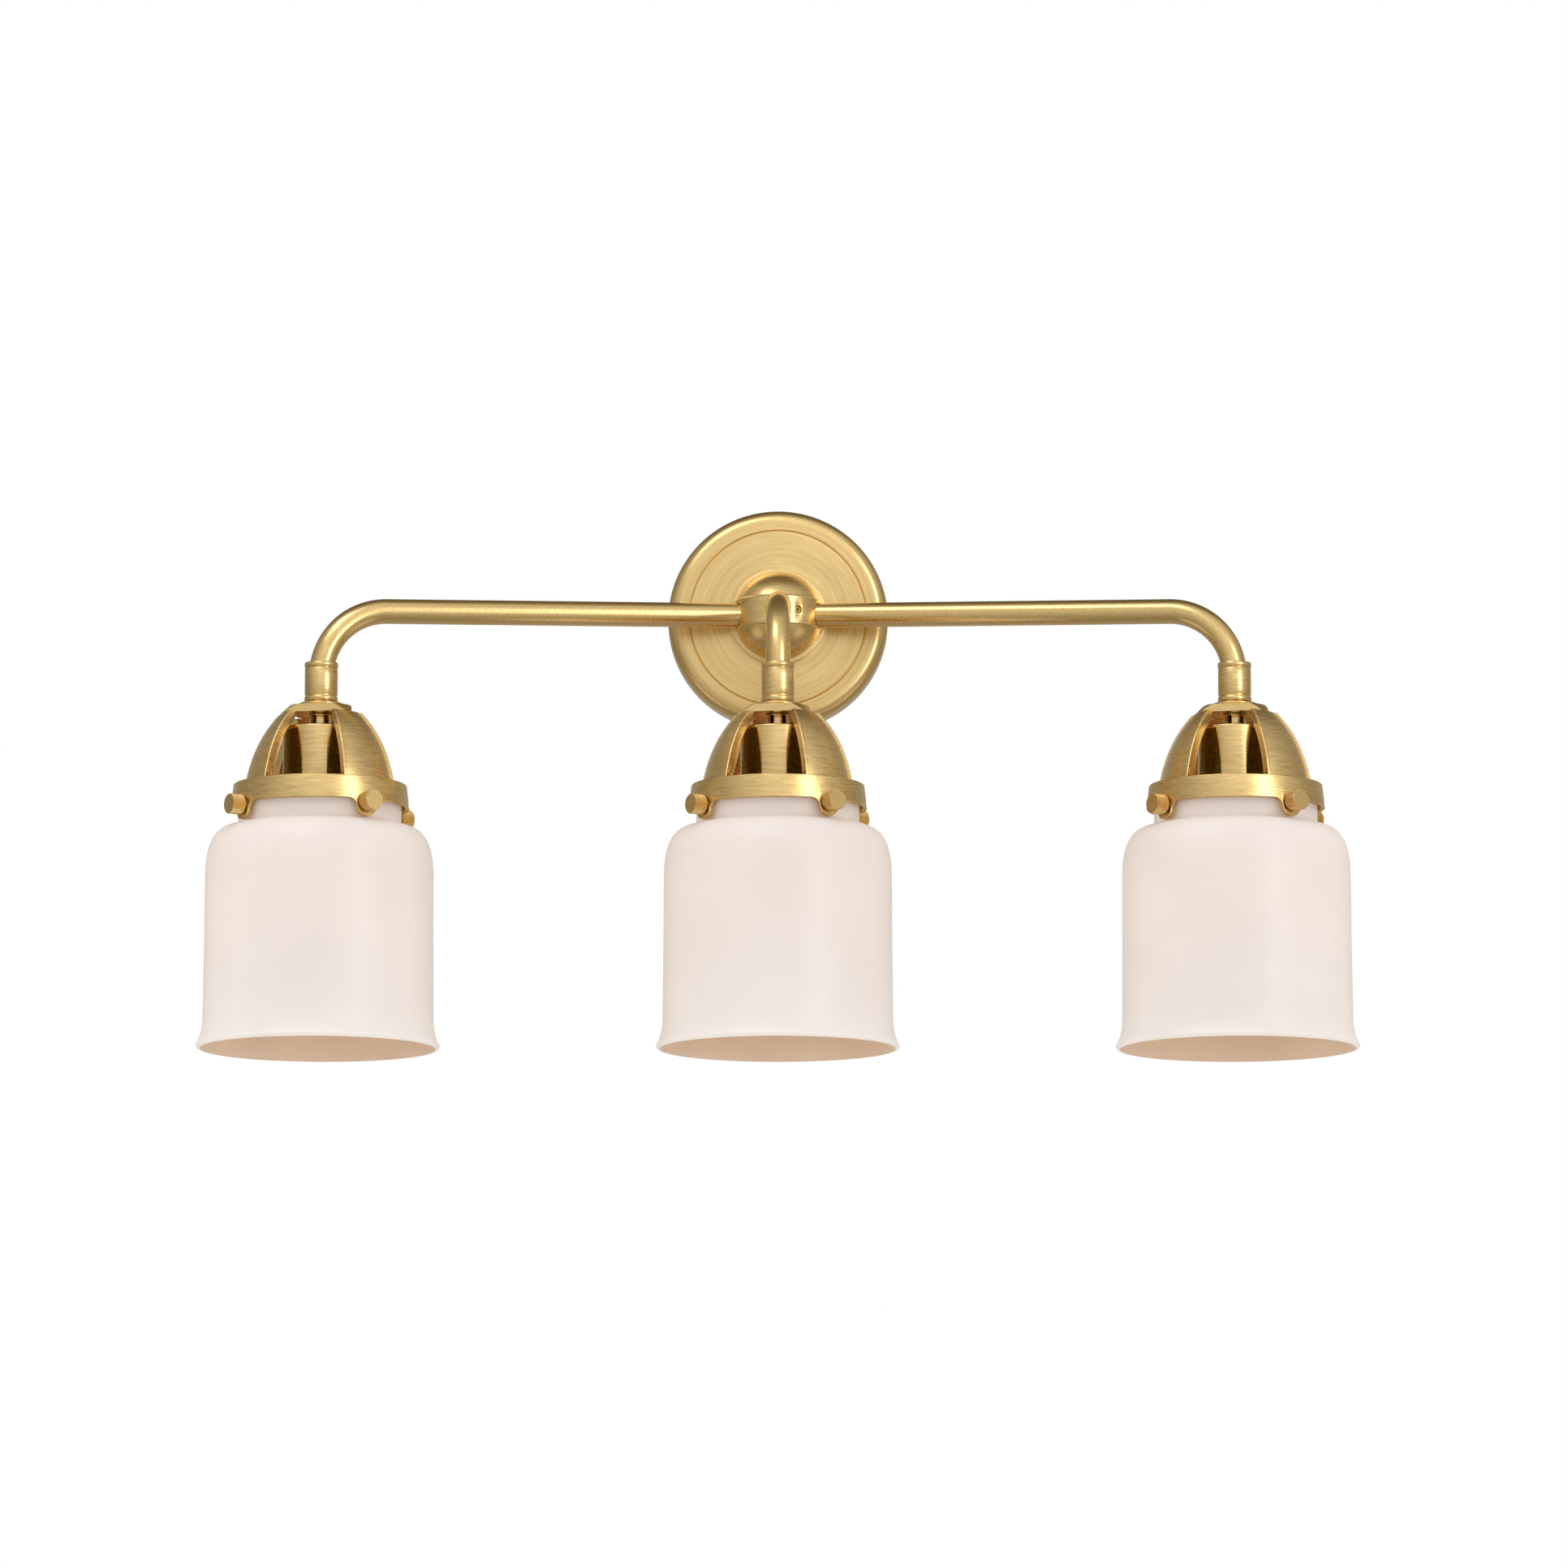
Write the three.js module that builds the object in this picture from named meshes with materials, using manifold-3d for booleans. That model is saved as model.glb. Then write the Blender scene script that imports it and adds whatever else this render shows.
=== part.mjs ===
// Three-light vanity bar, in millimetres. +Z is up, the wall is the plane y = 0 and the front faces -Y.
// The origin is the centre of the wall plate on the wall. Each lamp hangs from a bent tube that leaves a
// ball-shaped hub; its stack runs down from the collar to the lip of the glass shade.
import * as THREE from "three";
import { mergeVertices } from "three/addons/utils/BufferGeometryUtils.js";
import Module from "manifold-3d";

const wasm = await Module();
wasm.setup();

// ---------- Driving dimensions ----------
const degrees = THREE.MathUtils.degToRad;

const gap = 0.3; // clearance between pieces that seat on or in each other
const past = 1; // how far a cutting tool runs beyond the surface it leaves
const sides = 18; // facets round a large turned piece
const smallSides = 12; // facets round a small turned piece
const plateSides = 26; // facets round the wall plate

const plateRadius = 57.15;
const plateDepth = 19;
const plateWall = 1.5;
const plateEdgeRound = 7;
const plateGrooveRadius = 45.9;
const plateGrooveSize = 0.7;
const plateStepRadius = 25.2;
const plateStepHeight = 0.8;

const hubRadius = 23.4;
const hubBandRadius = 22.6;
const hubBandHeight = 15.1;
const hubCentreDepth = 22; // from the wall
const hubWireway = 1.5; // how far the hollow where the arms' bores meet reaches past their ends
const hubScrewRadius = 1.6;
const hubScrewLength = 5;
const hubScrewSunk = 0.6; // below the band's face
const hubScrewHexRadius = 0.8;
const hubScrewHexDepth = 1.5;
const hubScrewOffArm = 0.22; // between its inner end and the middle arm

const crossbarLength = 98;
const crossbarWidth = 14;
const crossbarThickness = 2;
const crossbarRise = 6; // the middle stands off the wall by this
const crossbarFoot = 26;
const slotLength = 12;
const slotRadius = 2.3;
const slotSpacing = 83;

const stemRadius = 4.8; // threaded stem from the crossbar to the ball
const stemBore = 3;
const stemPastBar = 2; // from the back of the back nut to the wall
const stemPastPlate = 6; // how far the stem enters the ball
const stemNutAcross = 15;
const stemNutHeight = 4;
const groundScrewRadius = 2;
const groundScrewHead = 4;
const groundScrewHeadHeight = 3;
const groundScrewBelow = 3; // its shank, behind the bar
const groundScrewSlotWidth = 1;
const groundScrewSlotDepth = 0.7;
const groundScrewPlace = 20;

const armRadius = 6.35;
const armWall = 1.2;
const armOffPlate = 0.38; // between a side arm's inner end, in the ball, and the wall plate
const armDroop = degrees(2.2);
const bendRadius = 35;
const bendSteps = 7;
const lampSpacing = 232;
const lampForward = 91; // lamp axes, from the wall

const armPastBend = 0.32; // straight end of a side arm, after its bend

const collarSeat = 7; // how far an arm enters its collar
const collarWall = 0.9;
const collarHeight = 20;
const collarShoulder = 1.5; // height of the cone between the arm's bore and the nipple's
const collarGroove = 0.5;
const collarFootRing = 2.5;
const collarTopRing = 2.8; // down to the groove under the top ring
const checkRingRadius = 11.3;
const checkRingHeight = 2;
const checkRingChamfer = 0.7;

const nippleRadius = 4;
const nippleBore = 2.6;
const nippleEngage = 8; // in the collar
const nipplePastCup = 2; // below the cup's top
const sleeveRadius = 6.1;
const sleeveSlots = 6;
const sleeveSlotAngle = degrees(20);
const sleeveRim = 0.8; // above and below the slots

const holderYaw = degrees(-10.5);
const holderTopRadius = 16.2;
const holderTopHeight = 3.9;
const holderBaseRadius = 38;
const holderHeight = 40.6; // from the top plate down to the ring
const holderWall = 2.2;
// The windows, each [middle, width]: a wide one at the front and a narrow one on either side of the back.
const windows = [[0, 64], [105.75, 35.5], [-105.75, 35.5]].map((window) => window.map(degrees));
const finThickness = 1.7;
const finProud = 0.9;
const finDepth = 4.4; // inwards from the panel's outer face
const ringTopRadius = 43.9;
const ringBottomRadius = 45.2;
const ringHeight = 11.8;
const ringWall = 2.1;
const tabThickness = 1.9;
const shelfThickness = 2.4;
const tabCount = 4;
const tabHalfWidth = 5.2;
const tabFillet = 4.6;
const tabDrop = 8.8;
const tabInset = 0.3; // from the ring's outer face to the flat tab's
const tabRoot = 0.8; // how far a tab runs up into the ring

const thumbHeadRadius = 5.15;
const thumbHeadLength = 7;
const thumbShankRadius = 2;
const thumbSeat = 46.6; // inner face of a head, from the lamp's axis
const thumbBelowRing = 1.5;

const cupYaw = degrees(-6);
const cupWall = 2.1;
const cupTopWall = 1.2;
const cupRecess = 1.3; // depth of the hollows between the legs
const cupEdge = 1; // chamfer round the top
const cupLegs = 4;
const cupOffRibs = 1.534; // between its top and the ribs' inner edges
const cupHeight = 38;
const legTopWidth = 18;
const legBottomWidth = 13.2;
const legTopDrop = 0.5; // from the inside of the cup's top to the hollows
const cupBand = 5; // plain band at the foot of the cup

const socketRadius = 16;
const socketWall = 1.6;
const socketEdge = 1;
const socketTop = 4;
const socketHeight = 33;
const shellWall = 0.5;
const shellTopGap = 2.5;
const shellAboveFoot = 1;

const bulbBaseRadius = 13;
const bulbBaseHeight = 25;
const bulbBaseCone = 3; // height of the cap's cone
const bulbTipRadius = 4.5;
const bulbTipHeight = 1;
const bulbRadius = 30;
const bulbLength = 84; // glass part

const neckRadius = 41.3;
const neckBelowShelf = 1.5;
const neckPastTabs = 1.8; // the neck ends this far above the tabs' feet
const neckFillet = 3;
const shadeWall = 3;
const shadeRadius = 57.7;
const shadeFootRadius = 58.2;
const shadeHeight = 130;
const shoulderHeight = 23;
const lipRadius = 61.2;
const lipHeight = 14;
const lipEdge = [0.8, 1.5]; // width and height of the chamfer on the lip

// ---------- Small tools ----------
function material(color, metalness, roughness) {
  return new THREE.MeshStandardMaterial({ color, metalness, roughness });
}

const brass = () => material(0xddbb7e, 1, 0.32);
const steel = () => material(0x9a9a98, 1, 0.4);
const greenSteel = () => material(0x3f7a4a, 1, 0.4);
const phenolic = () => material(0x2a1c14, 0, 0.5);
const opal = () => material(0xfbf3ef, 0, 0.35);
const bulbGlass = () => material(0xfff6ea, 0, 0.3);

function solid(geometry) {
  const bare = geometry.clone();
  bare.deleteAttribute("normal");
  bare.deleteAttribute("uv");
  const merged = mergeVertices(bare, 1e-4);
  return new wasm.Manifold(
    new wasm.Mesh({
      numProp: 3,
      vertProperties: merged.attributes.position.array,
      triVerts: new Uint32Array(merged.index.array),
    }),
  );
}

function geometryOf(body) {
  const { numProp, numVert, vertProperties, triVerts } = body.getMesh();
  const position = new Float32Array(numVert * 3);
  for (let i = 0; i < numVert; i++) {
    position.set(vertProperties.subarray(i * numProp, i * numProp + 3), i * 3);
  }
  return new THREE.BufferGeometry()
    .setAttribute("position", new THREE.BufferAttribute(position, 3))
    .setIndex(new THREE.BufferAttribute(triVerts, 1));
}

function cut(body, ...tools) {
  return tools.reduce((rest, tool) => rest.subtract(solid(tool)), body);
}

function join(body, ...others) {
  return others.reduce((sum, other) => sum.add(other), body);
}

// A solid turned about Z from a list of [radius, height] corners, given round the section anticlockwise.
function turned(corners, count = sides) {
  const points = corners.map(([r, z]) => new THREE.Vector2(r, z));
  return new THREE.LatheGeometry(points, count).rotateX(Math.PI / 2);
}

function tubeRing(outer, inner, top, bottom, count = smallSides) {
  return turned([[inner, bottom], [outer, bottom], [outer, top], [inner, top], [inner, bottom]], count);
}

function rod(radius, from, to, count = smallSides) {
  return new THREE.CylinderGeometry(radius, radius, to - from, count)
    .rotateX(Math.PI / 2)
    .translate(0, 0, (from + to) / 2);
}

// An extrusion of an outline drawn in plan, from one height to another.
function slab(outline, from, to) {
  return new THREE.ExtrudeGeometry(outline, { depth: to - from, bevelEnabled: false }).translate(0, 0, from);
}

// Turns a piece drawn along +X so that it points to an azimuth: 0 is the front (-Y) and +90 degrees is +X.
function toAzimuth(geometry, azimuth) {
  return geometry.rotateZ(azimuth - Math.PI / 2);
}

// Turns a piece drawn along +Z, from the wall outwards, so that it points to the front.
function outwards(geometry) {
  return geometry.rotateX(Math.PI / 2);
}

function mesh(name, geometry, finish) {
  const made = new THREE.Mesh(geometry, finish);
  made.name = name;
  return made;
}

// ---------- Wall plate and what is behind it ----------
function wallPlate() {
  const arc = (radius, count) =>
    Array.from({ length: count + 1 }, (_, i) => {
      const turn = (i / count) * (Math.PI / 2);
      return [
        plateRadius - plateEdgeRound + radius * Math.cos(turn),
        plateDepth - plateEdgeRound - plateStepHeight + radius * Math.sin(turn),
      ];
    });
  const face = plateDepth - plateStepHeight;
  const groove = plateGrooveSize;
  const outline = [
    [plateRadius - plateWall, 0],
    [plateRadius, 0],
    ...arc(plateEdgeRound, 3),
    [plateGrooveRadius + groove, face],
    [plateGrooveRadius, face - groove],
    [plateGrooveRadius - groove, face],
    [plateStepRadius, face],
    [plateStepRadius, plateDepth],
    [stemRadius + gap, plateDepth],
    [stemRadius + gap, face - plateWall],
    ...arc(plateEdgeRound - plateWall, 2).reverse(),
    [plateRadius - plateWall, 0],
  ];
  return mesh("wall_plate", turned(outline, plateSides).rotateX(Math.PI / 2), brass());
}

function crossbar() {
  const half = crossbarLength / 2;
  const bend = half - crossbarFoot;
  const t = crossbarThickness;
  const h = crossbarRise;
  const lower = [[-half, 0], [-bend, 0], [-bend + h, h], [bend - h, h], [bend, 0], [half, 0]];
  const run = t * Math.tan(Math.PI / 8); // shift of an inside corner on a 45 degree bend
  const upper = [
    [half, t],
    [bend + run, t],
    [bend - h + run, h + t],
    [-bend + h - run, h + t],
    [-bend - run, t],
    [-half, t],
  ];
  const outline = new THREE.Shape([...lower, ...upper].map(([x, y]) => new THREE.Vector2(x, -y)));
  const strap = slab(outline, -crossbarWidth / 2, crossbarWidth / 2);
  const hole = (radius, x) => outwards(rod(radius, -past, h + t + past)).translate(x, 0, 0);
  const slot = (x) => {
    const long = new THREE.Shape();
    long.absarc(slotLength / 2 - slotRadius, 0, slotRadius, -Math.PI / 2, Math.PI / 2, false);
    long.absarc(slotRadius - slotLength / 2, 0, slotRadius, Math.PI / 2, 1.5 * Math.PI, false);
    const shape = { depth: t + 2 * past, bevelEnabled: false, curveSegments: 3 };
    const tool = new THREE.ExtrudeGeometry(long, shape);
    return outwards(tool).translate(x, past, 0);
  };
  const body = cut(
    solid(strap),
    hole(stemRadius + gap, 0),
    hole(groundScrewRadius + gap, groundScrewPlace),
    slot(slotSpacing / 2),
    slot(-slotSpacing / 2),
  );
  return mesh("crossbar", geometryOf(body), steel());
}

const crossbarFace = crossbarRise + crossbarThickness;
const stemBack = stemPastBar;
const stemFront = plateDepth + stemPastPlate;

function hexNut(across, bore, from, to) {
  const corner = across / 2 / Math.cos(Math.PI / 6);
  const outline = new THREE.Shape();
  for (let i = 0; i < 6; i++) {
    const turn = (i * Math.PI) / 3;
    outline[i ? "lineTo" : "moveTo"](corner * Math.cos(turn), corner * Math.sin(turn));
  }
  outline.holes.push(new THREE.Path().absarc(0, 0, bore, 0, 2 * Math.PI, true));
  return new THREE.ExtrudeGeometry(outline, { depth: to - from, bevelEnabled: false, curveSegments: 5 })
    .translate(0, 0, from);
}

function stemParts() {
  const stem = tubeRing(stemRadius, stemBore, stemFront, stemBack);
  const backNut = hexNut(stemNutAcross, stemRadius + gap, stemBack, crossbarRise - gap);
  const nutFrom = crossbarFace + gap;
  const frontNut = hexNut(stemNutAcross, stemRadius + gap, nutFrom, nutFrom + stemNutHeight);
  return [
    mesh("hub_stem", outwards(stem), steel()),
    mesh("stem_back_nut", outwards(backNut), steel()),
    mesh("stem_front_nut", outwards(frontNut), steel()),
  ];
}

function groundScrew() {
  const headTop = crossbarFace + groundScrewHeadHeight;
  const head = solid(rod(groundScrewHead, crossbarFace + gap, headTop));
  const shank = solid(rod(groundScrewRadius, crossbarRise - groundScrewBelow, crossbarFace + past));
  const slotLong = 2 * (groundScrewHead + past);
  const driverSlot = new THREE.BoxGeometry(slotLong, groundScrewSlotWidth, 2 * groundScrewSlotDepth)
    .translate(0, 0, headTop);
  const body = outwards(geometryOf(cut(join(head, shank), driverSlot)));
  return mesh("ground_screw", body.translate(groundScrewPlace, 0, 0), greenSteel());
}

// ---------- Arms and hub ----------
const forward = lampForward - hubCentreDepth;
const rake = Math.atan2(forward, lampSpacing);
const sideReach = Math.hypot(lampSpacing, forward);
const armDirections = {
  left: { azimuth: -Math.PI / 2 + rake, droop: armDroop, reach: sideReach },
  centre: { azimuth: 0, droop: 0, reach: forward },
  right: { azimuth: Math.PI / 2 - rake, droop: armDroop, reach: sideReach },
};
// An arm enters the ball as far as the raked tubes clear the wall plate.
const armStart = (armRadius * Math.cos(rake) + plateDepth + armOffPlate - hubCentreDepth) / Math.sin(rake);
const armRun = ({ droop, reach }) => (reach - bendRadius * (1 - Math.sin(droop))) / Math.cos(droop);
const bendFoot = (line) => -armRun(line) * Math.sin(line.droop) - bendRadius * Math.cos(line.droop);
// The side arms' bends set how low all the arms end, and so where the collars are.
const armEnd = bendFoot(armDirections.left) - armPastBend;
const collarTop = armEnd + collarSeat;
// The set screw sits beside the middle arm, just clear of it.
const hubScrewReach = hubBandRadius - hubScrewSunk - hubScrewLength;
const hubScrewAzimuth =
  Math.asin((armRadius + hubScrewOffArm) / Math.hypot(hubScrewReach, hubScrewRadius)) +
  Math.atan(hubScrewRadius / hubScrewReach);

// The centre line of an arm in its own upright plane: straight out along +X, a bend, then straight down.
class ArmLine extends THREE.Curve {
  constructor(direction) {
    super();
    this.droop = direction.droop;
    this.run = armRun(direction);
    this.reach = direction.reach;
    this.bendEnd = bendFoot(direction);
    this.tail = this.bendEnd - armEnd;
  }
  // The parameter follows the sweep's steps: one for the straight, then the bend's, and one for the tail.
  getUtoTmapping(u) {
    return u;
  }
  getPoint(t) {
    const step = t * (bendSteps + 2);
    if (step <= 1) {
      const along = armStart + (this.run - armStart) * step;
      return new THREE.Vector3(along * Math.cos(this.droop), 0, -along * Math.sin(this.droop));
    }
    if (step <= bendSteps + 1) {
      const turn = this.droop + ((Math.PI / 2 - this.droop) * (step - 1)) / bendSteps;
      const x = this.reach - bendRadius * (1 - Math.sin(turn));
      return new THREE.Vector3(x, 0, this.bendEnd + bendRadius * Math.cos(turn));
    }
    return new THREE.Vector3(this.reach, 0, this.bendEnd - this.tail * (step - 1 - bendSteps));
  }
}

function armTube(line) {
  const section = new THREE.Shape().absarc(0, 0, armRadius, 0, 2 * Math.PI, false);
  section.holes.push(new THREE.Path().absarc(0, 0, armRadius - armWall, 0, 2 * Math.PI, true));
  return new THREE.ExtrudeGeometry(section, { extrudePath: line, steps: bendSteps + 2, curveSegments: 6 });
}

function arm(name) {
  const direction = armDirections[name];
  const tube = armTube(new ArmLine(direction));
  return mesh("arm_" + name, toAzimuth(tube, direction.azimuth), brass());
}

function hub() {
  const back = plateDepth + gap - hubCentreDepth; // the ball is cut flat where it meets the plate
  const ball = new THREE.SphereGeometry(hubRadius, sides, sides / 2).rotateX(Math.PI / 2);
  const band = rod(hubBandRadius, -hubBandHeight / 2, hubBandHeight / 2, sides);
  const span = 2 * (hubRadius + past);
  const wallSide = new THREE.BoxGeometry(span, span, span).translate(0, span / 2 - back, 0);
  const socket = ({ azimuth, droop }) => {
    const bore = rod(armRadius + gap, armStart - gap, hubRadius + past).rotateY(Math.PI / 2 + droop);
    return toAzimuth(bore, azimuth);
  };
  const stemHole = outwards(rod(stemRadius + gap, -hubRadius, 0));
  const wireway = new THREE.SphereGeometry(armStart + hubWireway, 10, 6);
  const screwHole = rod(hubScrewRadius + gap, armStart, hubRadius + past).rotateY(Math.PI / 2);
  const body = cut(
    join(solid(ball), solid(band)),
    wallSide,
    ...Object.values(armDirections).map(socket),
    stemHole,
    wireway,
    toAzimuth(screwHole, hubScrewAzimuth),
  );
  return mesh("hub_ball", geometryOf(body), brass());
}

function hubScrew() {
  const outer = hubBandRadius - hubScrewSunk;
  const screw = rod(hubScrewRadius, outer - hubScrewLength, outer).rotateY(Math.PI / 2);
  const hex = rod(hubScrewHexRadius, outer - hubScrewHexDepth, outer + past, 6).rotateY(Math.PI / 2);
  const body = cut(solid(screw), hex);
  return mesh("hub_set_screw", toAzimuth(geometryOf(body), hubScrewAzimuth), steel());
}

// ---------- The lamp's stack, heights measured down from the collar's top ----------
const lean = Math.asin(Math.min(collarSeat / bendRadius, 1));
// The bore clears the arm, which still leans a little where it enters, on the flats of the bore's facets.
const collarBore = (armRadius + bendRadius * (1 - Math.cos(lean)) + gap) / Math.cos(Math.PI / smallSides);
const collarRadius = collarBore + collarWall;
const holderTop = -collarHeight - checkRingHeight - 2 * gap; // top of the holder
const plateUnder = holderTop - holderTopHeight;
const ringTop = holderTop - holderHeight;
const ringBottom = ringTop - ringHeight;
const thumbHeight = ringBottom - thumbBelowRing;
// The cup's bore clears the socket on the flats of its facets.
const cupRadius = (socketRadius + gap) / Math.cos(Math.PI / smallSides) + cupWall;
const cupTop = heightBetweenRibs(cupRadius + cupOffRibs);
const collarFoot = -collarHeight;

function collar() {
  const g = collarGroove;
  const r = collarRadius;
  const h = collarHeight;
  const inner = nippleRadius + gap;
  const shoulder = -collarSeat - 2 * gap;
  const outline = [
    [inner, -h],
    [r, -h],
    [r, -h + collarFootRing],
    [r - g, -h + collarFootRing + g],
    [r, -h + collarFootRing + 2 * g],
    [r, -collarTopRing - g],
    [r - g, -collarTopRing],
    [r, -collarTopRing + g],
    [r, 0],
    [collarBore, 0],
    [collarBore, shoulder],
    [inner, shoulder - collarShoulder],
    [inner, -h],
  ];
  return turned(outline, smallSides);
}

function checkRing() {
  const top = collarFoot - gap;
  const bottom = top - checkRingHeight;
  const r = checkRingRadius;
  const outline = [
    [nippleRadius + gap, bottom],
    [r, bottom],
    [r, top - checkRingChamfer],
    [r - checkRingChamfer, top],
    [nippleRadius + gap, top],
    [nippleRadius + gap, bottom],
  ];
  return turned(outline, smallSides);
}

function domeLine() {
  const spread = holderBaseRadius - holderTopRadius;
  const at = (share, drop) =>
    new THREE.Vector2(holderTopRadius + share * spread, holderTop - drop * holderHeight);
  return new THREE.CubicBezierCurve(at(0, 0), at(0.58, 0.27), at(0.87, 0.6), at(1, 1));
}

// Corners of the dome's section moved square to its outer line by an amount, plus outwards.
function domeOffset(amount, count, from = 0) {
  const line = domeLine();
  return Array.from({ length: count + 1 }, (_, i) => {
    const t = from + ((1 - from) * i) / count;
    const point = line.getPoint(t);
    const along = line.getTangent(t);
    return [point.x - along.y * amount, point.y + along.x * amount];
  });
}

function finInside() {
  return domeOffset(-finDepth, 3, 0.16);
}

// How high the space between the ribs still has a given radius.
function heightBetweenRibs(radius) {
  const edge = finInside();
  const below = edge.findIndex(([r]) => r >= radius);
  const [[upperRadius, upper], [lowerRadius, lower]] = edge.slice(below - 1, below + 1);
  return upper + ((lower - upper) * (radius - upperRadius)) / (lowerRadius - upperRadius);
}

// A wedge in plan from the axis out to a radius, between two angles.
function sector(radius, from, to) {
  const middle = (from + to) / 2;
  const far = radius / Math.cos((to - from) / 2);
  return new THREE.Shape()
    .moveTo(0, 0)
    .lineTo(radius * Math.cos(from), radius * Math.sin(from))
    .lineTo(far * Math.cos(middle), far * Math.sin(middle))
    .lineTo(radius * Math.cos(to), radius * Math.sin(to));
}

function holderShell() {
  const outer = domeOffset(0, 4);
  const inner = domeOffset(-holderWall, 3, 0.17);
  const top = [[0, holderTop], [0, plateUnder], [inner[0][0] - 1, plateUnder]];
  const dome = [...outer.reverse(), ...top, ...inner];
  dome.push(dome[0]);
  const openings = windows.map(([middle, width]) => {
    const turn = middle - Math.PI / 2;
    return slab(sector(holderBaseRadius, turn - width / 2, turn + width / 2), ringTop - past, plateUnder);
  });
  return cut(solid(turned(dome)), ...openings);
}

// A thin rib that follows the dome along one edge of a window.
function fin(azimuth, side) {
  const outer = domeOffset(finProud, 4, 0.03);
  const corners = [...finInside().reverse(), ...outer];
  const outline = new THREE.Shape(corners.map(([r, z]) => new THREE.Vector2(r, z)));
  const plate = new THREE.ExtrudeGeometry(outline, { depth: finThickness, bevelEnabled: false })
    .rotateX(Math.PI / 2)
    .translate(0, side > 0 ? finThickness : 0, 0);
  return toAzimuth(plate, azimuth);
}

// A flat tab under the ring, for a thumbscrew: round at its foot, with a fillet on each side at its root.
function tab() {
  const w = tabHalfWidth;
  const f = tabFillet;
  const outline = new THREE.Shape()
    .moveTo(-w - f, tabRoot)
    .lineTo(-w - f, 0)
    .absarc(-w - f, -f, f, Math.PI / 2, 0, true)
    .absellipse(0, -f, w, tabDrop - f, Math.PI, 2 * Math.PI, false, 0)
    .absarc(w + f, -f, f, Math.PI, Math.PI / 2, true)
    .lineTo(w + f, tabRoot);
  return new THREE.ExtrudeGeometry(outline, { depth: tabThickness, bevelEnabled: false, curveSegments: 3 })
    .rotateX(Math.PI / 2)
    .translate(0, tabThickness - ringBottomRadius + tabInset, ringBottom);
}

const tabAzimuth = (i) => ((i + 0.5) * 2 * Math.PI) / tabCount;
function holder() {
  const tabs = Array.from({ length: tabCount }, (_, i) => solid(tab().rotateZ(tabAzimuth(i))));
  const ring = turned([
    [ringBottomRadius - ringWall, ringBottom],
    [ringBottomRadius, ringBottom],
    [ringTopRadius, ringTop],
    [holderBaseRadius - finDepth, ringTop],
    [holderBaseRadius - finDepth, ringTop - shelfThickness],
    [ringTopRadius - ringWall, ringTop - shelfThickness],
    [ringBottomRadius - ringWall, ringBottom],
  ]);
  const fins = windows.map(([middle, width]) => [
    solid(fin(middle - width / 2, 1)),
    solid(fin(middle + width / 2, -1)),
  ]);
  const body = join(holderShell(), solid(ring), ...tabs, ...fins.flat());
  const bore = rod(nippleRadius + gap, plateUnder - past, holderTop + past);
  const tabHole = rod(thumbShankRadius + gap, neckRadius - past, ringBottomRadius + past, 6);
  const holes = Array.from({ length: tabCount }, (_, i) =>
    toAzimuth(tabHole.clone().rotateY(Math.PI / 2), tabAzimuth(i)).translate(0, 0, thumbHeight),
  );
  return geometryOf(cut(body, bore, ...holes));
}

function thumbscrew() {
  const head = rod(thumbHeadRadius, thumbSeat, thumbSeat + thumbHeadLength);
  const shank = rod(thumbShankRadius, neckRadius + gap, thumbSeat + past, 6);
  return geometryOf(join(solid(head), solid(shank))).rotateY(Math.PI / 2);
}

function nipple() {
  return tubeRing(nippleRadius, nippleBore, collarFoot + nippleEngage, cupTop - cupTopWall - nipplePastCup);
}

function ventSleeve() {
  const top = plateUnder - gap;
  const bottom = cupTop + gap;
  const body = solid(tubeRing(sleeveRadius, nippleRadius + gap, top, bottom));
  const half = sleeveSlotAngle / 2;
  const slots = Array.from({ length: sleeveSlots }, (_, i) => {
    const turn = ((i + 0.5) * 2 * Math.PI) / sleeveSlots - Math.PI / 2;
    return slab(sector(sleeveRadius + past, turn - half, turn + half), bottom + sleeveRim, top - sleeveRim);
  });
  return geometryOf(cut(body, ...slots));
}

// Brass cup round the socket, with shallow hollows that leave tapering legs between its top and its foot.
function socketCup() {
  const bottom = cupTop - cupHeight;
  const r = cupRadius;
  const outline = [
    [r - cupWall, bottom],
    [r, bottom],
    [r, cupTop - cupEdge],
    [r - cupEdge, cupTop],
    [nippleRadius + gap, cupTop],
    [nippleRadius + gap, cupTop - cupTopWall],
    [r - cupWall, cupTop - cupTopWall],
    [r - cupWall, bottom],
  ];
  const pitch = (2 * Math.PI) / cupLegs;
  const halfHollow = (legWidth) => ((pitch - 2 * Math.asin(legWidth / 2 / r)) * r) / 2;
  const high = cupTop - cupTopWall - legTopDrop;
  const low = bottom + cupBand;
  const wide = halfHollow(legBottomWidth);
  const narrow = halfHollow(legTopWidth);
  const opening = new THREE.Shape()
    .moveTo(-narrow, high)
    .quadraticCurveTo(-wide, (high + low) / 2, -wide, low)
    .lineTo(wide, low)
    .quadraticCurveTo(wide, (high + low) / 2, narrow, high);
  const core = rod(r - cupRecess, bottom - past, cupTop + past);
  const cutters = Array.from({ length: cupLegs }, (_, i) => {
    const shape = { depth: r + past, bevelEnabled: false, curveSegments: 2 };
    const tool = new THREE.ExtrudeGeometry(opening, shape);
    return cut(solid(outwards(tool).rotateZ((i + 0.5) * pitch)), core);
  });
  const body = solid(turned(outline, smallSides));
  return geometryOf(cutters.reduce((rest, tool) => rest.subtract(tool), body));
}

const socketTopAt = cupTop - cupTopWall - gap;

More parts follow.
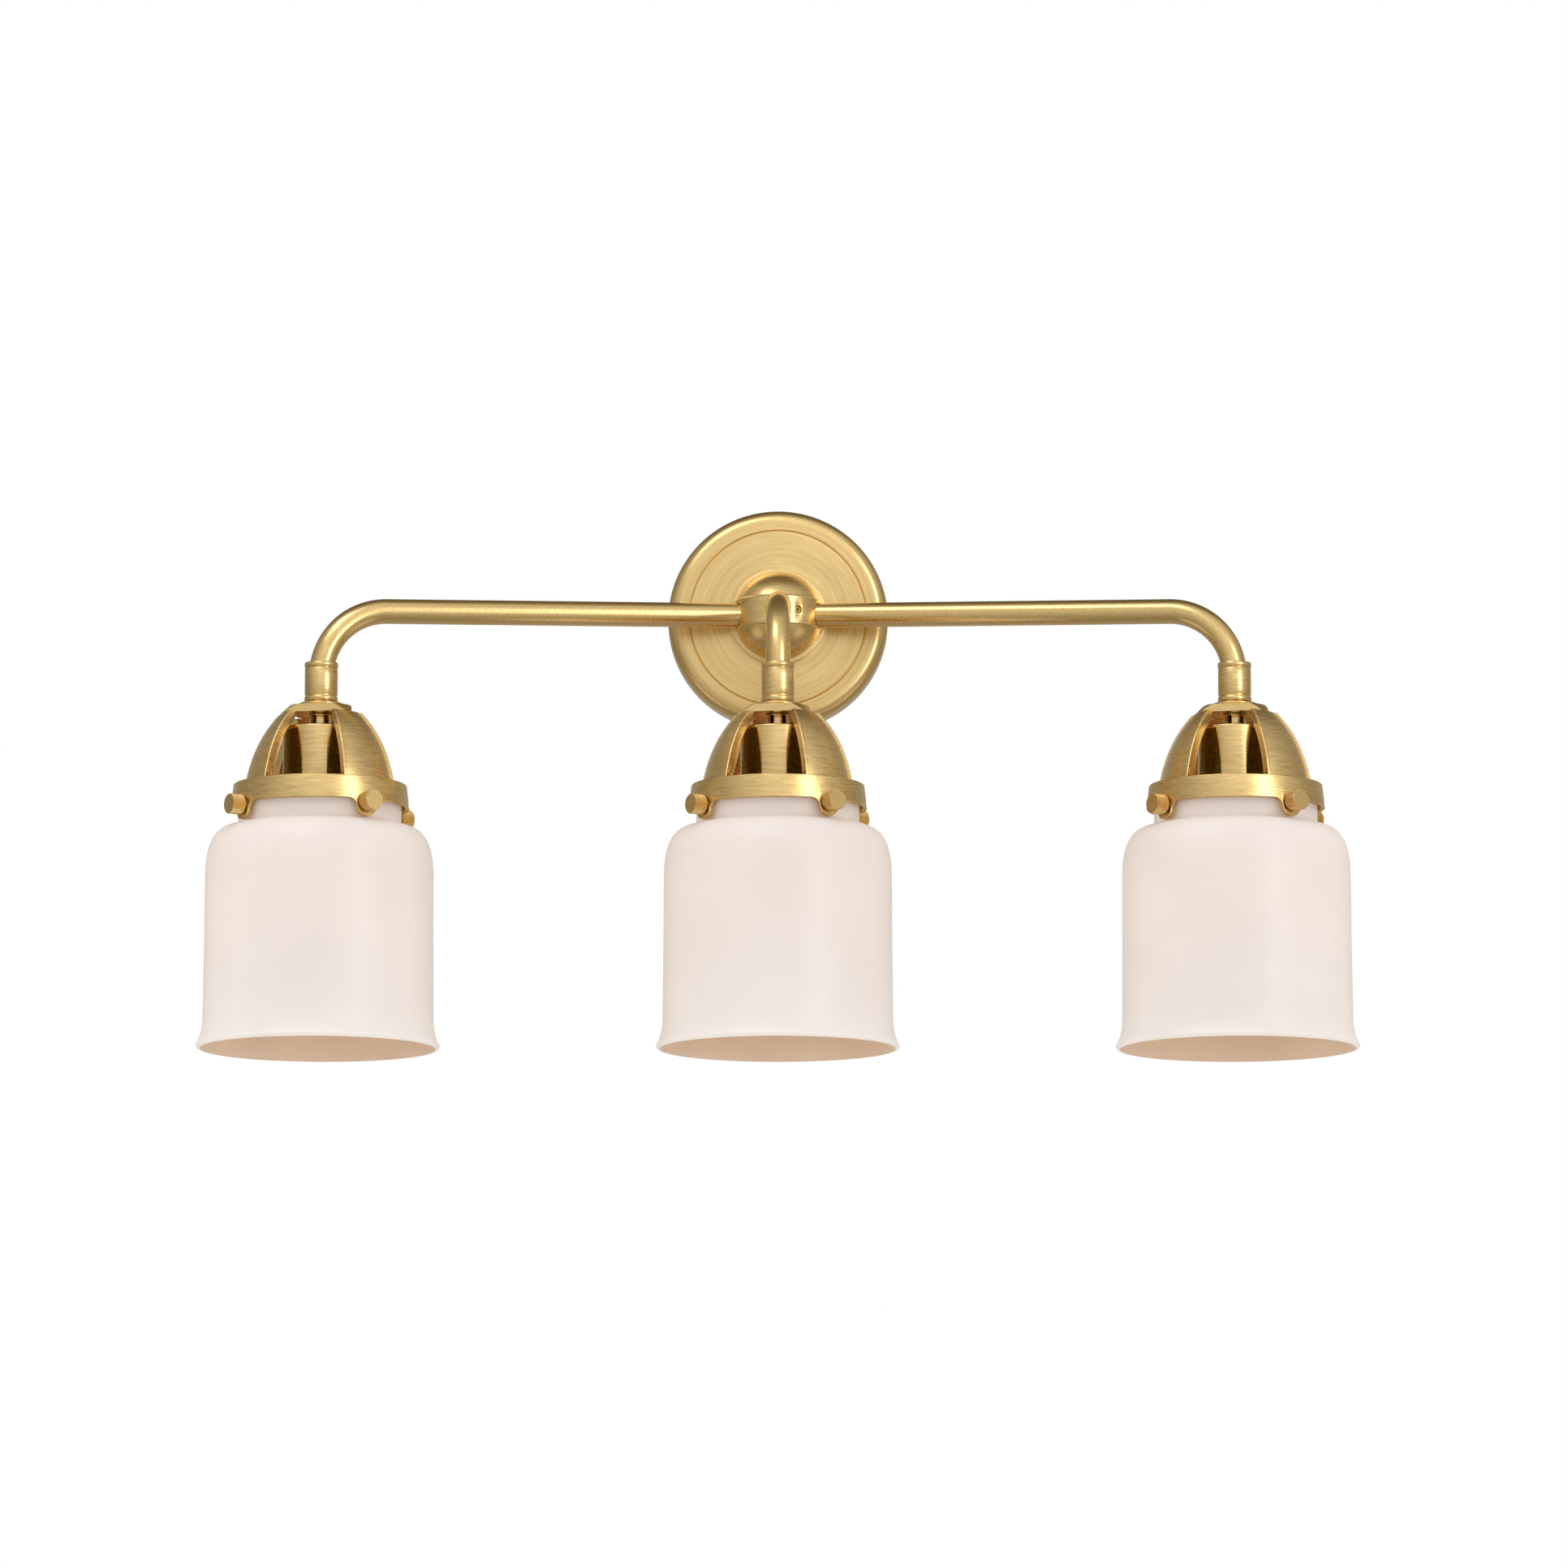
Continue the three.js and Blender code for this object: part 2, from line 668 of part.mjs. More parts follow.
function socketBody() {
  const r = socketRadius;
  const bottom = socketTopAt - socketHeight;
  return turned([
    [r - socketWall, bottom],
    [r, bottom],
    [r, socketTopAt - socketEdge],
    [r - socketEdge, socketTopAt],
    [nippleRadius + gap, socketTopAt],
    [nippleRadius + gap, socketTopAt - socketTop],
    [r - socketWall, socketTopAt - socketTop],
    [r - socketWall, bottom],
  ], smallSides);
}

const shellTop = socketTopAt - socketTop - shellTopGap;
const baseTop = shellTop - bulbTipHeight;

function screwShell() {
  const outer = socketRadius - socketWall - gap;
  return tubeRing(outer, outer - shellWall, shellTop, socketTopAt - socketHeight + shellAboveFoot);
}

function bulbBase() {
  const r = bulbBaseRadius;
  return turned([
    [0, baseTop - bulbBaseHeight],
    [r, baseTop - bulbBaseHeight],
    [r, baseTop - bulbTipHeight - bulbBaseCone],
    [bulbTipRadius, baseTop - bulbTipHeight],
    [bulbTipRadius, baseTop],
    [0, baseTop],
  ], smallSides);
}

function bulbEnvelope() {
  const top = baseTop - bulbBaseHeight - gap;
  const bottom = top - bulbLength;
  const centre = bottom + bulbRadius;
  const dome = Array.from({ length: 6 }, (_, i) => {
    const turn = -Math.PI / 2 + (i / 6) * (Math.PI / 1.75);
    return [bulbRadius * Math.cos(turn), centre + bulbRadius * Math.sin(turn)];
  });
  dome[0][0] = 0;
  return turned([
    ...dome,
    [bulbRadius * 0.93, centre + bulbRadius * 0.42],
    [bulbBaseRadius + 4, (centre + top) / 2 + 8],
    [bulbBaseRadius + 0.4, top - 6],
    [bulbBaseRadius, top],
    [0, top],
  ], smallSides);
}

// The shade hangs by its neck between the thumbscrews' tips: neck, rounded shoulder, body and flared lip.
const neckTop = ringTop - shelfThickness - neckBelowShelf;

function shadeOuter() {
  const neckFoot = ringBottom - tabDrop + neckPastTabs;
  const foot = neckTop - shadeHeight;
  const filletEnd = new THREE.Vector2(neckRadius + neckFillet + 2, neckFoot - neckFillet);
  const fillet = new THREE.QuadraticBezierCurve(
    new THREE.Vector2(neckRadius, neckFoot),
    new THREE.Vector2(neckRadius, neckFoot - 0.85 * neckFillet),
    filletEnd,
  );
  const shoulder = new THREE.CubicBezierCurve(
    filletEnd,
    new THREE.Vector2(shadeRadius - 4.7, filletEnd.y - 0.04 * shoulderHeight),
    new THREE.Vector2(shadeRadius - 0.3, filletEnd.y - 0.35 * shoulderHeight),
    new THREE.Vector2(shadeRadius, filletEnd.y - shoulderHeight),
  );
  const flareLine = new THREE.QuadraticBezierCurve(
    new THREE.Vector2(shadeFootRadius, foot + lipHeight),
    new THREE.Vector2(shadeFootRadius + 0.4, foot + 0.45 * lipHeight),
    new THREE.Vector2(lipRadius, foot + lipEdge[1]),
  );
  return [
    [neckRadius, neckTop],
    ...fillet.getPoints(2).map((p) => [p.x, p.y]),
    ...shoulder.getPoints(4).slice(1).map((p) => [p.x, p.y]),
    ...flareLine.getPoints(2).map((p) => [p.x, p.y]),
    [lipRadius - lipEdge[0], foot],
  ];
}

function shade() {
  const outer = shadeOuter();
  const inner = outer.map(([r, z], i) => {
    const [r0, z0] = outer[Math.max(i - 1, 0)];
    const [r1, z1] = outer[Math.min(i + 1, outer.length - 1)];
    const length = Math.hypot(r1 - r0, z1 - z0);
    return [r + ((z1 - z0) / length) * shadeWall, z - ((r1 - r0) / length) * shadeWall];
  });
  inner[0] = [neckRadius - shadeWall, neckTop];
  inner[inner.length - 1] = [lipRadius - lipEdge[0] - shadeWall, outer.at(-1)[1]];
  return turned([...inner, ...outer.reverse(), inner[0]], sides);
}

// ---------- Assembly ----------
const bar = new THREE.Group();
bar.add(wallPlate(), crossbar(), ...stemParts(), groundScrew());

const armGroup = new THREE.Group();
armGroup.position.set(0, -hubCentreDepth, 0);
armGroup.add(hub(), hubScrew(), arm("left"), arm("centre"), arm("right"));
bar.add(armGroup);

function lamp(name, x) {
  const stack = new THREE.Group();
  stack.position.set(x, -lampForward, collarTop);
  stack.add(
    mesh("collar_" + name, collar(), brass()),
    mesh("check_ring_" + name, checkRing(), brass()),
    mesh("nipple_" + name, nipple(), steel()),
    mesh("vent_sleeve_" + name, ventSleeve(), brass()),
    mesh("socket_body_" + name, socketBody(), phenolic()),
    mesh("screw_shell_" + name, screwShell(), brass()),
    mesh("bulb_base_" + name, bulbBase(), steel()),
    mesh("bulb_glass_" + name, bulbEnvelope(), bulbGlass()),
    mesh("shade_" + name, shade(), opal()),
  );
  const cup = mesh("socket_cup_" + name, socketCup(), brass());
  cup.rotation.z = cupYaw;
  const turnedGroup = new THREE.Group();
  turnedGroup.rotation.z = holderYaw;
  turnedGroup.add(mesh("holder_" + name, holder(), brass()));
  for (let i = 0; i < tabCount; i++) {
    const screw = mesh("thumbscrew_" + name + "_" + (i + 1), thumbscrew(), brass());
    screw.position.z = thumbHeight;
    screw.rotation.z = tabAzimuth(i) - Math.PI / 2;
    turnedGroup.add(screw);
  }
  stack.add(cup, turnedGroup);
  return stack;
}

bar.add(lamp("left", -lampSpacing), lamp("centre", 0), lamp("right", lampSpacing));

export default bar;
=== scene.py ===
# %% [markdown]
# # A three-light vanity bar
# A round brass plate hangs on the wall. A ball hub sits on it and sends out three bent tubes, and each tube
# carries a cast holder with a bell of opal glass. The CAD model gives every place and size, and this script
# makes the visible surface of each piece, finer than the CAD facets, and its finish.

# %% Load the frame
import math

import bpy
from mathutils import Matrix, Vector


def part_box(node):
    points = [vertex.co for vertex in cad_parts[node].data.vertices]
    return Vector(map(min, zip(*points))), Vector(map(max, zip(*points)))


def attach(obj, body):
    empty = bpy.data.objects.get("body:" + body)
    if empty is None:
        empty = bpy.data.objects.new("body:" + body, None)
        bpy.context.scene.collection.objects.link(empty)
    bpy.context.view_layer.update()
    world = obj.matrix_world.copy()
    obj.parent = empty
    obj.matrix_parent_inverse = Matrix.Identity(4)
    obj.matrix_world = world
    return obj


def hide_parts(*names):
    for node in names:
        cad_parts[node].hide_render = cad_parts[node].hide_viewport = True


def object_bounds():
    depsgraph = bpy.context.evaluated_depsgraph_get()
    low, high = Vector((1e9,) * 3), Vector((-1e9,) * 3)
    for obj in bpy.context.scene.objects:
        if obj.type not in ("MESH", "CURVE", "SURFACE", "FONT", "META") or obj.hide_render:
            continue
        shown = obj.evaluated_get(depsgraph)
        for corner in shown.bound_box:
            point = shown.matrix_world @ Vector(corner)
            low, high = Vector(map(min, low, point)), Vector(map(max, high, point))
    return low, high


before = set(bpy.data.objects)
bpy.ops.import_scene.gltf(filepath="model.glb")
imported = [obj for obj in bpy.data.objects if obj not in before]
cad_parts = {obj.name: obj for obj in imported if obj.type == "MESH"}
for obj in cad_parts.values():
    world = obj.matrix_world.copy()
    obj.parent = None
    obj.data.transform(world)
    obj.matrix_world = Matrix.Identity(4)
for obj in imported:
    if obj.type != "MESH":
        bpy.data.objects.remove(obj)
cad_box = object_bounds()
print("CAD box:", [[round(v, 4) for v in corner] for corner in cad_box])

# %% [markdown]
# ## Places that everything else is worked out from
# The three lamps are alike, so each lamp piece is modelled once, on the middle lamp, and copied sideways.
# The boxes of the CAD nodes say where the lamps hang and at which height each piece of a lamp starts and
# ends.

# %% Lamp axes and heights
MM = 0.001
LAMPS = ("left", "centre", "right")


def middle(node):
    low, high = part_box(node)
    return (Vector(low) + Vector(high)) / 2


def height(node):
    """Lowest and highest point of a node in millimetres."""
    low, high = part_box(node)
    return low[2] / MM, high[2] / MM


lamp_x = {lamp: middle("check_ring_" + lamp).x for lamp in LAMPS}
lamp_y = (middle("thumbscrew_centre_1") + middle("thumbscrew_centre_3")).y / 2
lamp_axis = Vector((lamp_x["centre"], lamp_y, 0))
hub_middle = Vector((0, -22 * MM, 0))
collar_foot, collar_top = height("collar_centre")
check_foot, check_top = height("check_ring_centre")
holder_foot, holder_top = height("holder_centre")
sleeve_foot, sleeve_top = height("vent_sleeve_centre")
cup_foot, cup_top = height("socket_cup_centre")
socket_foot, socket_top = height("socket_body_centre")
shade_foot, shade_top = height("shade_centre")
bulb_foot, bulb_top = height("bulb_glass_centre")
base_foot, base_top = height("bulb_base_centre")
print("lamps at", {k: round(v, 3) for k, v in lamp_x.items()}, "and", round(lamp_y, 4), "from the wall")

# %% [markdown]
# ## Working by hand, in code
# Most of the real pieces are turned on a lathe. A lathe in Blender is a section traced point by point and
# then spun round an axis. The same trace, filled and extruded, gives the flat pieces. A bevel takes the
# sharpness off every edge, because no real edge is perfectly sharp and the thin bright line on it is what
# the eye looks for.

# %% Helpers for tracing, spinning and softening
def deselect():
    if bpy.context.object and bpy.context.object.mode != "OBJECT":
        bpy.ops.object.mode_set(mode="OBJECT")
    bpy.ops.object.select_all(action="DESELECT")


def choose(piece):
    deselect()
    piece.select_set(True)
    bpy.context.view_layer.objects.active = piece


def trace(name, points):
    """A closed line through points, made from one vertex that is extruded from point to point."""
    deselect()
    bpy.ops.mesh.primitive_plane_add(size=MM, location=points[0])
    made = bpy.context.object
    made.name = made.data.name = name
    bpy.ops.object.mode_set(mode="EDIT")
    bpy.ops.mesh.select_mode(type="VERT")
    bpy.ops.mesh.merge(type="CENTER")
    for here, there in zip(points, points[1:] + points[:1]):
        step = Vector(there) - Vector(here)
        bpy.ops.mesh.extrude_region_move(TRANSFORM_OT_translate={"value": step})
    bpy.ops.mesh.select_all(action="SELECT")
    bpy.ops.mesh.remove_doubles(threshold=1e-7)
    return made


def apply_place(piece):
    choose(piece)
    bpy.ops.object.transform_apply(location=True, rotation=True, scale=True)


def smooth(piece, angle=32):
    choose(piece)
    bpy.ops.object.shade_smooth_by_angle(angle=math.radians(angle))


def turned(name, outline, centre, steps=96, out_of_wall=False):
    """A section of (radius, height) corners in millimetres, spun about the upright axis through centre.

    With out_of_wall it is spun about the axis out of the wall, and height is the distance from the wall.
    """
    if out_of_wall:
        points = [(centre[0] + r * MM, -h * MM, centre[2]) for r, h in outline]
        axis = (0, 1, 0)
    else:
        points = [(centre[0] + r * MM, centre[1], h * MM) for r, h in outline]
        axis = (0, 0, 1)
    made = trace(name, points)
    bpy.ops.mesh.spin(steps=steps, angle=math.tau, center=centre, axis=axis)
    bpy.ops.mesh.select_all(action="SELECT")
    bpy.ops.mesh.remove_doubles(threshold=2e-6)
    bpy.ops.mesh.normals_make_consistent(inside=False)
    bpy.ops.object.mode_set(mode="OBJECT")
    apply_place(made)
    return made


def plate_of(name, points, thickness):
    """A closed line, filled and extruded by a vector."""
    made = trace(name, points)
    bpy.ops.mesh.edge_face_add()
    bpy.ops.mesh.extrude_region_move(TRANSFORM_OT_translate={"value": thickness})
    bpy.ops.mesh.select_all(action="SELECT")
    bpy.ops.mesh.normals_make_consistent(inside=False)
    bpy.ops.object.mode_set(mode="OBJECT")
    apply_place(made)
    return made


def soften(piece, width, segments=2, angle=40):
    choose(piece)
    edge = piece.modifiers.new("soft edges", "BEVEL")
    edge.width = width * MM
    edge.segments = segments
    edge.limit_method = "ANGLE"
    edge.angle_limit = math.radians(angle)
    bpy.ops.object.modifier_apply(modifier=edge.name)


def combine(piece, others, operation):
    """Joins other solids to piece or cuts them from it, and removes them."""
    for other in others:
        choose(piece)
        step = piece.modifiers.new("combine", "BOOLEAN")
        step.operation = operation
        step.solver = "EXACT"
        step.object = other
        bpy.ops.object.modifier_apply(modifier=step.name)
        bpy.data.objects.remove(other)


def arc(centre, radius, start, end, count):
    """Points of a round stretch, from one angle in degrees to another."""
    turns = [math.radians(start + (end - start) * i / count) for i in range(count + 1)]
    return [(centre[0] + radius * math.cos(t), centre[1] + radius * math.sin(t)) for t in turns]


def bezier(*corners, count=12):
    """Points of a curve with three or four control corners."""
    n = len(corners) - 1
    weights = [math.comb(n, k) for k in range(n + 1)]
    points = []
    for i in range(count + 1):
        t = i / count
        shares = [w * t**k * (1 - t) ** (n - k) for k, w in enumerate(weights)]
        points.append(tuple(sum(s * c[axis] for s, c in zip(shares, corners)) for axis in (0, 1)))
    return points


def spin_about(piece, centre, degrees):
    """Turns a piece's mesh about the upright axis through centre."""
    there = Matrix.Translation(centre)
    piece.data.transform(there @ Matrix.Rotation(math.radians(degrees), 4, "Z") @ there.inverted())


# %% [markdown]
# ## Finishes
# The metal is brass that was brushed to a satin face and lacquered. Brushing leaves fine lines in one
# direction, and the lines spread a highlight across themselves. So most brass finishes are the same metal
# with its lines laid another way, round the plate or round the upright turned pieces; the tubes and the
# knurled screws have lines with no direction.

# %% A node helper and the colours
def linear(hex_colour):
    """An sRGB hex colour as the linear values that shaders use."""
    values = [int(hex_colour[i : i + 2], 16) / 255 for i in (1, 3, 5)]
    return [v / 12.92 if v <= 0.04045 else ((v + 0.055) / 1.055) ** 2.4 for v in values] + [1.0]


def node(tree, kind, settings=None, inputs=None):
    """Adds a node: settings are its own properties, and an input is a value or another node's output."""
    made = tree.nodes.new(kind)
    for key, value in (settings or {}).items():
        setattr(made, key, value)
    for key, value in (inputs or {}).items():
        if isinstance(value, bpy.types.NodeSocket):
            tree.links.new(value, made.inputs[key])
        else:
            made.inputs[key].default_value = value
    return made


def new_finish(name):
    made = bpy.data.materials.new(name)
    made.use_nodes = True
    made.node_tree.nodes.clear()
    return made, made.node_tree


def ramp(tree, factor, stops):
    """A colour ramp through (position, colour) stops."""
    made = node(tree, "ShaderNodeValToRGB", inputs={"Fac": factor})
    elements = made.color_ramp.elements
    while len(elements) < len(stops):
        elements.new(0.5)
    for element, (position, colour) in zip(elements, stops):
        element.position = position
        element.color = colour
    return made.outputs["Color"]


# %% Brushed brass
BRASS = "#F2D393"
BRASS_DEEP = "#D2AF6B"
LINE_MM = 0.22  # spacing of the brushed lines; the real ones are finer, and these are as coarse as shows


def line_space(tree, lay, centre):
    """Coordinates in millimetres in which brushed lines run along the second and third axis."""
    place = node(tree, "ShaderNodeTexCoord").outputs["Object"]
    moved = node(tree, "ShaderNodeVectorMath", {"operation": "SUBTRACT"}, {0: place, 1: centre})
    scaled = node(
        tree, "ShaderNodeVectorMath", {"operation": "SCALE"}, {0: moved.outputs[0], "Scale": 1 / MM}
    ).outputs[0]
    if lay == "round_upright":  # lines run round the Z axis: fine across the height
        return node(tree, "ShaderNodeMapping", inputs={"Vector": scaled, "Scale": (0.05, 0.05, 1)}).outputs[0]
    if lay == "fine":  # polished all over, with no direction
        return scaled
    parts = node(tree, "ShaderNodeSeparateXYZ", inputs={"Vector": scaled})
    flat = node(tree, "ShaderNodeCombineXYZ", inputs={"X": parts.outputs["X"], "Y": parts.outputs["Z"]})
    radius = node(tree, "ShaderNodeVectorMath", {"operation": "LENGTH"}, {0: flat.outputs[0]})
    turn = node(
        tree,
        "ShaderNodeMath",
        {"operation": "ARCTAN2"},
        {0: parts.outputs["Z"], 1: parts.outputs["X"]},
    )
    return node(
        tree, "ShaderNodeCombineXYZ", inputs={"X": radius.outputs["Value"], "Y": turn.outputs[0]}
    ).outputs[0]


def brushed_brass(name, lay, roughness, depth, anisotropy, centre=(0, 0, 0), streaks=0.22):
    made, tree = new_finish(name)
    space = line_space(tree, lay, centre)
    lines = node(
        tree,
        "ShaderNodeTexNoise",
        {"noise_dimensions": "3D"},
        {"Vector": space, "Scale": 1 / LINE_MM / 2, "Detail": 3, "Roughness": 0.6},
    ).outputs["Fac"]
    cloud = node(
        tree, "ShaderNodeTexNoise", inputs={"Vector": space, "Scale": 0.6, "Detail": 3, "Roughness": 0.6}
    ).outputs["Fac"]
    mixed = node(
        tree, "ShaderNodeMix", {"data_type": "FLOAT"}, {"Factor": streaks, 2: lines, 3: cloud}
    ).outputs[0]
    colour = ramp(tree, mixed, [(0.3, linear(BRASS_DEEP)), (0.62, linear(BRASS))])
    rough = node(
        tree,
        "ShaderNodeMapRange",
        inputs={
            "Value": lines,
            "From Min": 0.3,
            "From Max": 0.7,
            "To Min": roughness - 0.07,
            "To Max": roughness + 0.08,
        },
    ).outputs[0]
    bump = node(
        tree, "ShaderNodeBump", inputs={"Height": lines, "Strength": depth, "Distance": 0.02 * MM}
    ).outputs[0]
    axis = {"round_plate": "Y", "round_upright": "Z", "fine": "Z"}[lay]
    tangent = node(tree, "ShaderNodeTangent", {"direction_type": "RADIAL", "axis": axis}).outputs[0]
    metal = node(
        tree,
        "ShaderNodeBsdfPrincipled",
        inputs={
            "Base Color": colour,
            "Metallic": 1.0,
            "Roughness": rough,
            "Anisotropic": anisotropy,
            "Coat Weight": 0.5,
            "Coat Roughness": 0.16,
            "Normal": bump,
            "Tangent": tangent,
        },
    )
    node(tree, "ShaderNodeOutputMaterial", inputs={"Surface": metal.outputs[0]})
    return made


plate_brass = brushed_brass("brass_brushed_round_the_plate", "round_plate", 0.3, 0.5, 0.6, streaks=0.55)
hub_brass = brushed_brass("brass_turned_hub", "round_upright", 0.27, 0.1, 0.3, tuple(hub_middle))
arm_brass = brushed_brass("brass_tube_satin", "fine", 0.26, 0.03, 0.0)
turned_brass = brushed_brass("brass_turned_upright", "round_upright", 0.26, 0.1, 0.3)
cast_brass = brushed_brass("brass_cast_and_brushed", "round_upright", 0.3, 0.16, 0.3)
thumb_brass = brushed_brass("brass_knurled_screw", "fine", 0.28, 0.05, 0.0)

# %% [markdown]
# ### Plain metals, phenolic and glass
# The pieces behind the plate and in the socket are zinc-plated steel, sheet brass and dark phenolic. The
# shade is opal glass, etched to a satin face: light that falls on it is scattered just under the surface
# and some of it comes through, so the lit bulb shows as a soft warm patch. The inside of the bell is
# painted a deeper, warmer tone than the outside, as painted shade and painted warm bulb light; it shows
# at the mouth.

# %% Plain metals and phenolic
def plain_metal(name, colour, worn, roughness, grain_mm=1.5, metallic=1.0):
    made, tree = new_finish(name)
    place = node(tree, "ShaderNodeTexCoord").outputs["Object"]
    grain = node(
        tree, "ShaderNodeTexNoise", inputs={"Vector": place, "Scale": 1 / (grain_mm * MM), "Detail": 4}
    ).outputs["Fac"]
    tint = ramp(tree, grain, [(0.35, linear(worn)), (0.65, linear(colour))])
    rough = node(
        tree,
        "ShaderNodeMapRange",
        inputs={"Value": grain, "To Min": roughness - 0.1, "To Max": roughness + 0.1},
    ).outputs[0]
    bump = node(
        tree, "ShaderNodeBump", inputs={"Height": grain, "Strength": 0.15, "Distance": 0.05 * MM}
    ).outputs[0]
    body = node(
        tree,
        "ShaderNodeBsdfPrincipled",
        inputs={"Base Color": tint, "Metallic": metallic, "Roughness": rough, "Normal": bump},
    )
    node(tree, "ShaderNodeOutputMaterial", inputs={"Surface": body.outputs[0]})
    return made


zinc_steel = plain_metal("steel_zinc_plated", "#B9B8B2", "#8F8E8A", 0.38)
nickel = plain_metal("nickel_plated_bulb_cap", "#CFCDC8", "#AAA8A2", 0.28)
green_steel = plain_metal("steel_green_passivated", "#3E7D4C", "#2C5A36", 0.42)
sheet_brass = plain_metal("brass_drawn_sheet", "#D6B066", "#A8833F", 0.32)
# painted shade: a dark brass that stands for the shade falling in the socket cup's hollows
hollow_shade_brass = plain_metal("brass_painted_shade_hollow", "#7D6A24", "#5E4C16", 0.42)
phenolic = plain_metal("phenolic_moulded_dark", "#2E1D14", "#1D120C", 0.42, 0.8, 0.0)

# %% Opal glass and bulb glass
def opal_glass(name, dull, bright, passed):
    made, tree = new_finish(name)
    place = node(tree, "ShaderNodeTexCoord").outputs["Object"]
    cloud = node(
        tree, "ShaderNodeTexNoise", inputs={"Vector": place, "Scale": 25, "Detail": 2}
    ).outputs["Fac"]
    tint = ramp(tree, cloud, [(0.3, linear(dull)), (0.7, linear(bright))])
    etch = node(
        tree, "ShaderNodeTexNoise", inputs={"Vector": place, "Scale": 4000, "Detail": 2}
    ).outputs["Fac"]
    bump = node(
        tree, "ShaderNodeBump", inputs={"Height": etch, "Strength": 0.04, "Distance": 0.01 * MM}
    ).outputs[0]
    face = node(
        tree,
        "ShaderNodeBsdfPrincipled",
        inputs={"Base Color": tint, "Roughness": 0.38, "IOR": 1.5, "Normal": bump, "Coat Weight": 0.1},
    )
    through = node(tree, "ShaderNodeBsdfTranslucent", inputs={"Color": linear(passed)})
    mixed = node(
        tree, "ShaderNodeMixShader", inputs={"Fac": 0.36, 1: face.outputs[0], 2: through.outputs[0]}
    )
    node(tree, "ShaderNodeOutputMaterial", inputs={"Surface": mixed.outputs[0]})
    return made


def bulb_glass():
    made, tree = new_finish("glass_bulb_frosted_lit")
    place = node(tree, "ShaderNodeTexCoord").outputs["Object"]
    frost = node(
        tree, "ShaderNodeTexNoise", inputs={"Vector": place, "Scale": 900, "Detail": 2}
    ).outputs["Fac"]
    tint = ramp(tree, frost, [(0.3, linear("#FFF3E4")), (0.7, linear("#FFFAF3"))])
    glow = node(
        tree,
        "ShaderNodeBsdfPrincipled",
        inputs={
            "Base Color": tint,
            "Roughness": 0.35,
            "Emission Color": linear("#FFD9AC"),
            "Emission Strength": 0.85,
        },
    )
    node(tree, "ShaderNodeOutputMaterial", inputs={"Surface": glow.outputs[0]})
    return made


opal = opal_glass("glass_opal_satin_etched", "#F8F6F4", "#FDFBFA", "#FFFCF8")
# painted shade and painted warm light: the inside of the bell is coloured darker and warmer than the outside
opal_painted_warm_shade = opal_glass("glass_opal_painted_warm_shade", "#C6A583", "#D0B394", "#FFF3E6")
frosted = bulb_glass()


# %% Finish a piece
def wear(piece, finish):
    piece.data.materials.clear()
    piece.data.materials.append(finish)


def settle(piece, node_name, finish, body="root"):
    """Gives a finished piece its material and lets it stand for its CAD node."""
    wear(piece, finish)
    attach(piece, body)
    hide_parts(node_name)


def on_each_lamp(piece, stem, finish, body="root"):
    """Copies a piece of the middle lamp to the other two, each copy with its own mesh."""
    for lamp in LAMPS:
        copy = piece if lamp == "centre" else piece.copy()
        if copy is not piece:
            copy.data = piece.data.copy()
            bpy.context.scene.collection.objects.link(copy)
            copy.data.transform(Matrix.Translation((lamp_x[lamp] - lamp_axis.x, 0, 0)))
        copy.name = "made_" + stem + "_" + lamp
        settle(copy, stem + "_" + lamp, finish, body.format(lamp) if "{}" in body else body)


# %% [markdown]
# ## Wall plate
# The plate is a disc of sheet brass, spun over a former: a crowned face with a fine groove, a low step
# where the ball sits, and a rolled edge. It is traced as one section and spun about the axis that stands
# out of the wall.

# %% Spin the wall plate
PLATE_WALL = 1.5
PLATE_ROUND = 7.0
GROOVE_RADIUS = 45.9
STEP_RADIUS = 25.2
STEM_HOLE = 5.1
plate_low, plate_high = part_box("wall_plate")
plate_radius = plate_high[2] / MM
plate_depth = -plate_low[1] / MM
plate_face = plate_depth - 0.8
PLATE_CROWN = 1.6  # how far the face falls away towards the edge


def face_at(radius):
    return plate_face - PLATE_CROWN * ((radius - STEP_RADIUS) / (plate_radius - STEP_RADIUS)) ** 2


edge_centre = (plate_radius - PLATE_ROUND, face_at(plate_radius - PLATE_ROUND) - PLATE_ROUND)
groove_face = face_at(GROOVE_RADIUS)
plate_section = (
    [(plate_radius - PLATE_WALL, 0.3), (plate_radius - PLATE_WALL + 0.3, 0), (plate_radius - 0.4, 0)]
    + [(plate_radius, 0.4)]
    + arc(edge_centre, PLATE_ROUND, 0, 90, 12)
    + [(GROOVE_RADIUS + 2, face_at(GROOVE_RADIUS + 2)), (GROOVE_RADIUS + 0.5, groove_face - 0.05)]
    + [(GROOVE_RADIUS, groove_face - 0.5), (GROOVE_RADIUS - 0.4, groove_face)]
    + [(radius, face_at(radius)) for radius in (44, 41, 38, 35, 32, 29)]
    + [(STEP_RADIUS + 0.6, plate_face)]
    + [(STEP_RADIUS + 0.15, plate_face + 0.12), (STEP_RADIUS, plate_face + 0.35)]
    + [(STEP_RADIUS - 0.1, plate_depth - 0.15), (STEP_RADIUS - 0.4, plate_depth)]
    + [(STEM_HOLE, plate_depth), (STEM_HOLE, plate_face - PLATE_WALL)]
    + arc(edge_centre, PLATE_ROUND - PLATE_WALL, 90, 0, 8)
)
wall_plate = turned("made_wall_plate", plate_section, (0, 0, 0), 160, out_of_wall=True)
smooth(wall_plate, 35)
settle(wall_plate, "wall_plate", plate_brass)
print("wall plate faces:", len(wall_plate.data.polygons))

# %% [markdown]
# ## Ball hub
# The hub is a solid ball with a flat band turned round its middle. It is cut flat at the back, and each arm
# goes into a bored socket. The ball is a spun section; the sockets are cut with cylinders and their rims
# softened.

